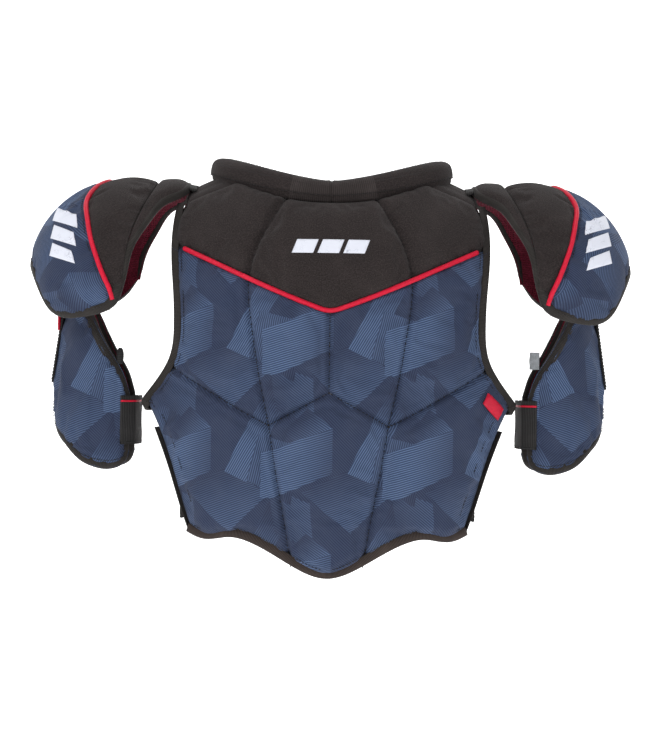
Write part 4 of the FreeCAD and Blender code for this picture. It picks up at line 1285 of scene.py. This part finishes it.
def nearest(points, line):
    """Distance from each point to the nearest of a path's points."""
    best = np.full(len(points), 1e9)
    for start in range(0, len(line), 40):
        gap = np.linalg.norm(points[:, None] - line[None, start:start + 40], axis=2).min(1)
        best = np.minimum(best, gap)
    return best


def swelled(gap, width, height):
    return height * np.sqrt(np.clip(1 - (1 - np.clip(gap / width, 0, 1)) ** 2.2, 0, 1))


def make_cap_skin():
    """The cap's padded outer skin, filled between its piping, seam and rim."""
    rows, columns = 110, 84
    verts, cloth = cap_shell(rows, columns)
    faces = grid_faces(rows, columns)
    piping, _ = border_path()
    rim, _ = rim_path()
    seam = verts.reshape(rows, columns, 3)[:, -1]
    gap_piping, gap_edge = nearest(verts, piping), np.minimum(nearest(verts, rim), nearest(verts, seam))
    gap = np.minimum(gap_piping, gap_edge)
    normal = dome_normal(verts)
    verts = verts + normal * (swelled(gap, 24.0, 2.8) - 2.4)[:, None]
    verts = inflate(verts, faces, gap < 1.6, 3.5, 0.04, 12, 1.6)
    along = cloth[:, 1]
    wave = 0.28 * np.exp(-gap_piping / 6.0) * np.sin(along * 2 * math.pi / 8.0 + 2 * np.sin(along / 17))
    wave += 0.25 * np.exp(-gap_edge / 8.0) * np.sin(along * 2 * math.pi / 9.5 + 2 * np.sin(along / 13))
    sink = -1.4 * np.exp(-(gap_piping / 2.6) ** 2)
    return verts + normal * (wave + sink)[:, None], faces, cloth


def make_caps():
    verts, faces, cloth = make_cap_skin()
    border = spline(CAP_BORDER, 2.0)[::-1]
    middles = np.array([verts[f].mean(0) for f in faces])
    inner_part = middles[:, 0] < np.interp(middles[:, 2], border[:, 1], border[:, 0])
    for side, sign in SIDES:
        body = side + "_cap"
        for name, keep, material, node in (
                ("blue_cap_cover", ~inner_part, "blue_cloth", "_cap_outer_cover"),
                ("black_cap_cover", inner_part, "black_cloth", "_cap_inner_cover")):
            part, part_faces, flat = only(verts, faces, cloth, keep)
            base = part - dome_normal(part) * 2.2
            flat = flat + np.array([0.0, 130.0 * sign])
            piece = doubled(f"{side}_{name}", part, part_faces, base, flat, side)
            place(piece, body, material, (side + node,), 0.7)
        spots, flat = cap_shell(70, 50, 1.0)
        normal = dome_normal(spots)
        swell = 0.8 * np.sin(flat[:, 0] / 9.0) * np.sin(flat[:, 1] / 11.0)
        outer = spots - normal * 4.9
        inner = spots - normal * (13.2 + swell)[:, None]
        piece = doubled(side + "_cap_lining", outer, grid_faces(70, 50), inner, flat, side)
        place(piece, body, "liner_cloth", (side + "_cap_liner",), 0.7)

        path, up = border_path()
        clear = nearest(path, rim_path(0.0, 5.9)[0]) > 7.5
        path, up = path[clear] - up[clear] * 0.6, up[clear]
        path, up = turned_over(path, side), turned_over(up, side)
        cord = sweep(side + "_cap_red_piping", path, up, circle(2.4, 12, 1.15))
        place(cord, body, "red_trim", (side + "_cap_piping",))
        path, up, slim = cap_loop()
        profile = np.array(tape_profile(8.5, 11.0))
        profile[:, 0] *= sign
        tape = sweep(side + "_cap_rim_tape", turned_over(path, side), turned_over(up, side), profile, True,
                     scale=slim)
        place(tape, body, "binding_tape", (side + "_cap_binding",))
        rows = [rim_path(7.6, -1.6), border_path(4.8), border_path(-4.8)]
        rows = [(turned_over(p - n * 1.0, side), turned_over(n, side)) for p, n in rows]
        sewn(side + "_cap_stitches", rows, "black_thread", body)

        skin = (turned_over(verts, side), faces if side == "right" else [list(reversed(f)) for f in faces])

        def surface(flat):
            places, normals = dome(flat * np.array([sign, 1.0]), -1)
            return turned_over(places, side), turned_over(normals, side)

        bars = []
        for n, (start, end) in enumerate(CAP_BARS):
            inner_top = (248.5 + 0.06 * (-20 - start), start - 8)
            corners = [inner_top, (270.0, start), (272.5, end), (246.0, end - 8)]
            corners = [(x * sign, z) for x, z in corners]
            bars.append(patch(f"bar_{n}", corners, surface, skin, 0.45, 0.9))
        place(join(side + "_cap_pale_bars", bars), body, "white_print", (side + "_cap_stripes",))
        make_arch(side, body)


def make_arch(side, body):
    """The padded arch round the arm opening, black outside and lined inside."""
    rows, columns = 90, 26
    turn = np.radians(np.linspace(-96.0, 87.6, rows))
    z_line = CAP_Z + CAP_RADIUS * np.cos(turn)
    rim = spline(ARCH_RIM, 1.0)
    seam = spline(CAP_SEAM, 1.0)[::-1]
    start = np.interp(z_line, rim[:, 1], rim[:, 0])
    end = np.maximum(np.interp(z_line, seam[:, 1], seam[:, 0]) - 0.4, start + 1.5)
    share = np.linspace(0, 1, columns)
    for name, top, under, material, node in (("black_arch_pad", 0.0, 7.5, "black_cloth", ("_cap_arch_pad",)),
                                             ("arch_lining", 7.7, 11.8, "liner_cloth", ())):
        x = start[:, None] + (end - start + (0.0 if top == 0.0 else 2.2))[:, None] * share[None]
        gap = np.minimum(x - start[:, None] + 1.5, end[:, None] - x)
        if top == 0.0:
            lift = swelled(gap, 13.0, 2.6) - 1.8
            lift = lift - 5.2 * (1 - np.clip((x - start[:, None]) / 15.0, 0, 1)) ** 2
            lift = lift + 0.3 * np.sin(turn * 78)[:, None] * np.exp(-gap / 5.0)
        else:
            lift = 0.5 * np.sin(turn * 9)[:, None] * np.ones_like(x)
        spots = []
        for depth in (top - lift, under + 0 * lift):
            y = (CAP_HALF_DEPTH - depth) * np.sin(turn)[:, None]
            z = CAP_Z + (CAP_RADIUS - depth) * np.cos(turn)[:, None]
            spots.append(np.stack([x, y, z], axis=-1).reshape(-1, 3))
        if top > 0.0:
            spots = spots[::-1]
        flat = np.stack(np.broadcast_arrays(x, 95 * turn[:, None]), axis=-1).reshape(-1, 2)
        piece = doubled(f"{side}_{name}", spots[0], grid_faces(rows, columns), spots[1], flat, side)
        place(piece, body, material, tuple(side + n for n in node), 0.7)
    path, up = arch_rim_path(turn)
    y, z = path[:, 1], path[:, 2]
    inner = path + up * 5.6 + np.array([6.8, 0, 0])
    outer = np.stack([end - 3.0, y, z], axis=1) + up * 6.6
    keep = end - start > 12
    rows = [(turned_over(p[keep], side), turned_over(up[keep], side)) for p in (inner, outer)]
    sewn(side + "_arch_stitches", rows, "black_thread", body)


# ---------------------------------------------------------------- bicep guards
def guard_limits(x):
    low = spline(GUARD_BOTTOM, 1.0)
    high = spline(GUARD_INNER, 1.0)
    return np.interp(x, low[:, 0], low[:, 1]), np.interp(x, high[:, 0], high[:, 1])


def guard_place(turn, z, depth=0.0):
    """Places and normals on the guard's tube; turn 0 faces the body and 90 degrees faces the front."""
    radius = GUARD_RADIUS - depth
    normal = np.stack(np.broadcast_arrays(-np.cos(turn), np.sin(turn), 0.0 * turn), axis=-1)
    x = GUARD_X - radius * np.cos(turn) - guard_lean(z) * np.clip(-np.cos(turn), 0, 1)
    places = np.stack(np.broadcast_arrays(x, radius * np.sin(turn), z), axis=-1)
    return places, normal


def guard_lean(z):
    """How far the guard's outer side leans in towards the body near its top."""
    return 9.6 * np.clip((np.asarray(z) + 185.0) / 66.0, 0.0, 1.2)


def guard_loop(inset, depth):
    """A closed path round the guard's outline, inset along the cloth."""
    edge = inset / GUARD_RADIUS
    turn = np.linspace(GUARD_TURN[0] + edge, GUARD_TURN[1] - edge, 110)
    low, high = guard_limits(GUARD_X - GUARD_RADIUS * np.cos(turn))
    top = np.stack([turn, high - inset], axis=1)
    bottom = np.stack([turn, low + inset], axis=1)[::-1]
    down = np.linspace(top[-1], bottom[0], 22)[1:-1]
    rise = np.linspace(bottom[-1], top[0], 22)[1:-1]
    flat = np.vstack([top, down, bottom, rise])
    places, normals = guard_place(flat[:, 0], flat[:, 1], depth)
    return places, normals


def make_guard_skin(rows, columns, depth, inset):
    edge = inset / GUARD_RADIUS
    turn = np.linspace(GUARD_TURN[0] + edge, GUARD_TURN[1] - edge, columns)
    low, high = guard_limits(GUARD_X - GUARD_RADIUS * np.cos(turn))
    share = np.linspace(0, 1, rows)[:, None]
    z = (low + inset) * (1 - share) + (high - inset) * share
    turns = np.broadcast_to(turn, z.shape)
    places, normals = guard_place(turns, z, depth)
    flat = np.stack([GUARD_RADIUS * turns, z], axis=-1)
    return places.reshape(-1, 3), normals.reshape(-1, 3), flat.reshape(-1, 2)


def make_guards():
    rows, columns = 64, 120
    verts, normals, cloth = make_guard_skin(rows, columns, 0.0, 0.5)
    faces = grid_faces(rows, columns)
    edge, _ = guard_loop(0.0, 0.0)
    gap = nearest(verts, edge)
    verts = verts + normals * (swelled(gap, 26.0, 2.6) - 1.2)[:, None]
    if np.dot(np.cross(verts[faces[0][1]] - verts[faces[0][0]], verts[faces[0][2]] - verts[faces[0][0]]),
              normals[0]) < 0:
        faces = [list(reversed(f)) for f in faces]
    verts = inflate(verts, faces, gap < 7.0, 3.0, 0.05, 12, 2.0)
    wave = 0.35 * np.exp(-(gap - 8).clip(0) / 7.0) * np.sin(
        (cloth[:, 0] + cloth[:, 1]) * 2 * math.pi / 8.6 + 2.0 * np.sin(cloth[:, 0] / 15.0))
    verts = verts + normals * (wave * (gap > 6))[:, None]
    for side, sign in SIDES:
        body = side + "_guard"
        flat = cloth + np.array([170.0 * sign, 40.0])
        under = make_guard_skin(rows, columns, 3.4, 0.5)[0]
        piece = doubled(side + "_guard_blue_cover", verts, faces, under, flat, side)
        place(piece, body, "blue_cloth", (side + "_guard_cover",), 0.7)
        for name, top, bottom, inset, material, node, fill in (
                ("_guard_lining", 4.2, 9.1, 1.0, "liner_cloth", "_guard_liner", 0.7),
                ("_guard_shell", 3.5, 4.1, 8.0, "plate_plastic", "_guard_plate", None)):
            outer, _, flat = make_guard_skin(36, 80, top, inset)
            inner, _, _ = make_guard_skin(36, 80, bottom, inset)
            piece = doubled(side + name, outer, grid_faces(36, 80), inner, flat, side)
            place(piece, body, material, (side + node,), fill)
        path, up = guard_loop(0.0, 4.6)
        profile = tape_profile(8.5, 7.8)
        path, up = turned_over(path, side), turned_over(up, side)
        if side == "left":
            path, up = path[::-1], up[::-1]
        tape = sweep(side + "_guard_tape", path, up, profile, True)
        place(tape, body, "binding_tape", (side + "_guard_binding",))
        path, up = guard_loop(7.6, -1.7)
        row = turned_over(path, side), turned_over(up, side)
        sewn(side + "_guard_stitches", [row], "black_thread", body)
        make_bands(side, sign, body)


def flat_band(path, z_low, z_high, thick, rows=14):
    """An upright band along (x, y) points, slightly waved, with its normals outwards."""
    path = np.asarray(path, float)
    along = np.gradient(path, axis=0)
    along /= np.linalg.norm(along, axis=1)[:, None]
    out = np.stack([along[:, 1], -along[:, 0]], axis=1)
    share = np.linspace(0, 1, rows)
    length = np.r_[0, np.cumsum(np.linalg.norm(np.diff(path, axis=0), axis=1))]
    wave = 0.35 * np.sin(share * 9.0)[:, None] * np.sin(length / 6.0)[None]
    z = np.broadcast_to((z_low + (z_high - z_low) * share)[:, None], wave.shape)
    sides = []
    for off in (thick / 2, -thick / 2):
        x = path[:, 0][None] + out[:, 0][None] * (off + wave)
        y = path[:, 1][None] + out[:, 1][None] * (off + wave)
        sides.append(np.stack([x, y, z], axis=-1).reshape(-1, 3))
    flat = np.stack(np.broadcast_arrays(length[None], z), axis=-1).reshape(-1, 2)
    both, closed = thicken(sides[0], grid_faces(rows, len(path)), sides[1])
    return both, closed, np.vstack([flat, flat])


def band_line():
    """The arm band seen from above: round the near edge, then across the open side."""
    radius = GUARD_RADIUS + BIND_PROUD + 0.3 + BAND_THICK / 2
    turn = np.radians(np.linspace(-62, -43, 12))
    near = np.stack([GUARD_X - radius * np.cos(turn), radius * np.sin(turn)], axis=1)
    y = np.linspace(near[-1, 1], -near[-1, 1], 30)[1:]
    edge_y, middle = abs(near[-1, 1]), BAND_MIDDLE_X + BAND_THICK / 2
    bow = near[-1, 0] - middle
    ring = (edge_y ** 2 + bow ** 2) / (2 * bow)
    x = middle + ring - np.sqrt(ring ** 2 - y ** 2)
    return np.vstack([near, np.stack([x, y], axis=1)])


def make_bands(side, sign, body):
    z_low, z_high = BAND_Z
    for name, line, z0, z1, thick, owner, material, nodes in (
            ("arm_band_elastic", band_line(), z_low + 0.3, z_high - 0.3, 2.4, body, "elastic",
             (side + "_arm_band",)),
            ("arm_band_red_edge", band_line(), z_high - 6.6, z_high - 4.8, 3.1, body, "red_trim", ()),
            ("arm_band_low_edge", band_line(), z_low + 0.6, z_low + 3.0, 2.9, body, "webbing", ()),
            ("band_tab_cloth", tab_line(), z_low + 0.3, z_high - 0.3, 2.4, side + "_band_tab", "webbing",
             (side + "_band_tab",))):
        both, closed, flat = flat_band(line, z0, z1, thick)
        piece = mesh_object(f"{side}_{name}", turned_over(both, side), closed, flat)
        place(piece, owner, material, nodes)
    low, high = box_mm(side + "_adjust_strap")
    rise = np.linspace(high[2], low[2], 12)
    path = np.stack([sign * (STRAP_INNER_X + 1.2 - guard_lean(rise)), 0 * rise, rise], axis=1)
    piece = strap(side + "_adjust_webbing", path, (sign, 0, 0), high[1] - low[1] - 0.4, 2.4)
    place(piece, body, "webbing", (side + "_adjust_strap",))
    face = sign * (STRAP_INNER_X + 2.5 - guard_lean(high[2]))
    rows = crossed_box((face, 0, high[2] - 12), (0, 0, 1), (0, 1, 0), (sign, 0, 0), 16, 20)
    rise = np.linspace(high[2] - 24, low[2] + 4, 40)
    for y in (-12.5, 12.5):
        row = np.stack([sign * (STRAP_INNER_X + 2.5 - guard_lean(rise)), y + 0 * rise, rise], axis=1)
        rows.append((row, np.array([sign, 0.0, 0.0]) * np.ones((40, 1))))
    sewn(side + "_adjust_strap_stitches", rows, "black_thread", body)
    low, high = box_mm(side + "_hanger_tabs")
    pieces = []
    for y in (low[1] + 1.7, high[1] - 1.7):
        x = (low[0] + high[0]) / 2
        path = [(x, y, low[2]), (x, y + math.copysign(0.2, y), (low[2] + high[2]) / 2), (x, y, high[2])]
        pieces.append(strap("tab", path, (0, math.copysign(1, y), 0), high[0] - low[0] - 0.4, 3.2))
    place(join(side + "_hanger_webbing", pieces), side + "_hanger", "webbing", (side + "_hanger_tabs",))
    far = np.radians(np.linspace(52, 64, 12))
    radius = GUARD_RADIUS + 2.2
    line = np.stack([GUARD_X - radius * np.cos(far), -radius * np.sin(far)], axis=1)[::-1]
    if side == "right":
        both, closed, flat = flat_band(line, -167, -150, 2.2)
        piece = mesh_object("right_guard_grey_tag", both, closed, flat)
        place(piece, body, "grey_satin")
    else:
        rise = np.linspace(-167, -151, 12)
        spot = np.array([GUARD_X - 47.0 * math.cos(1.09), -47.0 * math.sin(1.09), 0.0])
        path = spot + rise[:, None] * np.array([0.0, 0.0, 1.0])
        bulge = 0.25 + 0.75 * np.sqrt(np.clip(1 - ((rise + 159) / 8.2) ** 2, 0, 1))
        up = [-1.0, -1.0, 0.0] * np.ones((12, 3))
        piece = sweep("left_guard_loop", turned_over(path, side), up, circle(3.6, 12), scale=bulge)
        place(piece, body, "webbing")
        line = [(269.0, y) for y in (-15.6, -5, 4, 11)]
        both, closed, flat = flat_band(line, -134, -120, 2.2)
        piece = mesh_object("left_guard_red_tab", turned_over(both, side), closed, flat)
        place(piece, body, "label")


def tab_line():
    radius = GUARD_RADIUS + BIND_PROUD + 0.3 + BAND_THICK / 2
    turn = np.radians(np.linspace(48, 108, 26))
    return np.stack([GUARD_X - radius * np.cos(turn), radius * np.sin(turn)], axis=1)


# ---------------------------------------------------------------- what the CAD parts keep
def paint_cad():
    """Plain plates inside the pads keep their CAD shapes and get a moulded surface."""
    plates = ["spine_plate", "sternum_plates"]
    plates += [side + part for side in ("left", "right") for part in ("_cap_plate", "_guard_plate")]
    for name in plates:
        found = bpy.data.objects.get(name)
        if found is not None:
            paint(found, "plate_plastic")


# ---------------------------------------------------------------- stage
def make_stage():
    scene = bpy.context.scene
    world = bpy.data.worlds.new("studio")
    world.use_nodes = True
    world.node_tree.nodes["Background"].inputs[0].default_value = rgb(1.0, 1.0, 1.0)
    world.node_tree.nodes["Background"].inputs[1].default_value = 0.52
    scene.world = world
    pale = bpy.data.materials.new("pale_paper")
    pale.use_nodes = True
    shader = pale.node_tree.nodes["Principled BSDF"]
    shader.inputs["Base Color"].default_value = rgb(0.8, 0.8, 0.8)
    shader.inputs["Roughness"].default_value = 1.0
    shader.inputs["Emission Color"].default_value = rgb(1.0, 1.0, 1.0)
    shader.inputs["Emission Strength"].default_value = 0.85
    low = cad_low[2] - 0.30
    sheets = (("floor", [(-6, -6, low), (6, -6, low), (6, 6, low), (-6, 6, low)]),
              ("backdrop", [(-6, 3.2, low), (6, 3.2, low), (6, 3.2, low + 6), (-6, 3.2, low + 6)]))
    for name, corners in sheets:
        mesh = bpy.data.meshes.new(name)
        mesh.from_pydata(corners, [], [[0, 1, 2, 3]])
        sheet = bpy.data.objects.new(name, mesh)
        sheet.data.materials.append(pale)
        scene.collection.objects.link(sheet)
    for name, spot, size, power in (("key", (-1.2, -1.6, 1.4), 1.1, 24.0),
                                    ("fill", (1.6, -1.5, 0.2), 1.7, 7.0),
                                    ("top", (0.0, 0.2, 1.9), 1.6, 12.0)):
        light = bpy.data.lights.new(name, "AREA")
        light.energy = power
        light.size = size
        lamp = bpy.data.objects.new(name, light)
        lamp.location = spot
        aim = Vector((0, 0, -0.17)) - Vector(spot)
        lamp.rotation_euler = aim.to_track_quat("-Z", "Y").to_euler()
        scene.collection.objects.link(lamp)
    lens = bpy.data.cameras.new("camera")
    lens.lens = 110.4
    lens.sensor_fit = "AUTO"
    lens.sensor_width = 36.0
    lens.clip_start = 0.1
    camera = bpy.data.objects.new("camera", lens)
    camera.location = (-0.004, -2.3, -0.175)
    camera.rotation_euler = (math.pi / 2, math.radians(CAMERA_ROLL), 0)
    scene.collection.objects.link(camera)
    scene.camera = camera
    scene.view_settings.view_transform = "Standard"


make_materials()
back_skin = make_back()
make_back_trim(back_skin)
make_collar()
make_bridges()
make_gussets()
make_chest()
make_straps()
make_caps()
make_guards()
paint_cad()
make_stage()
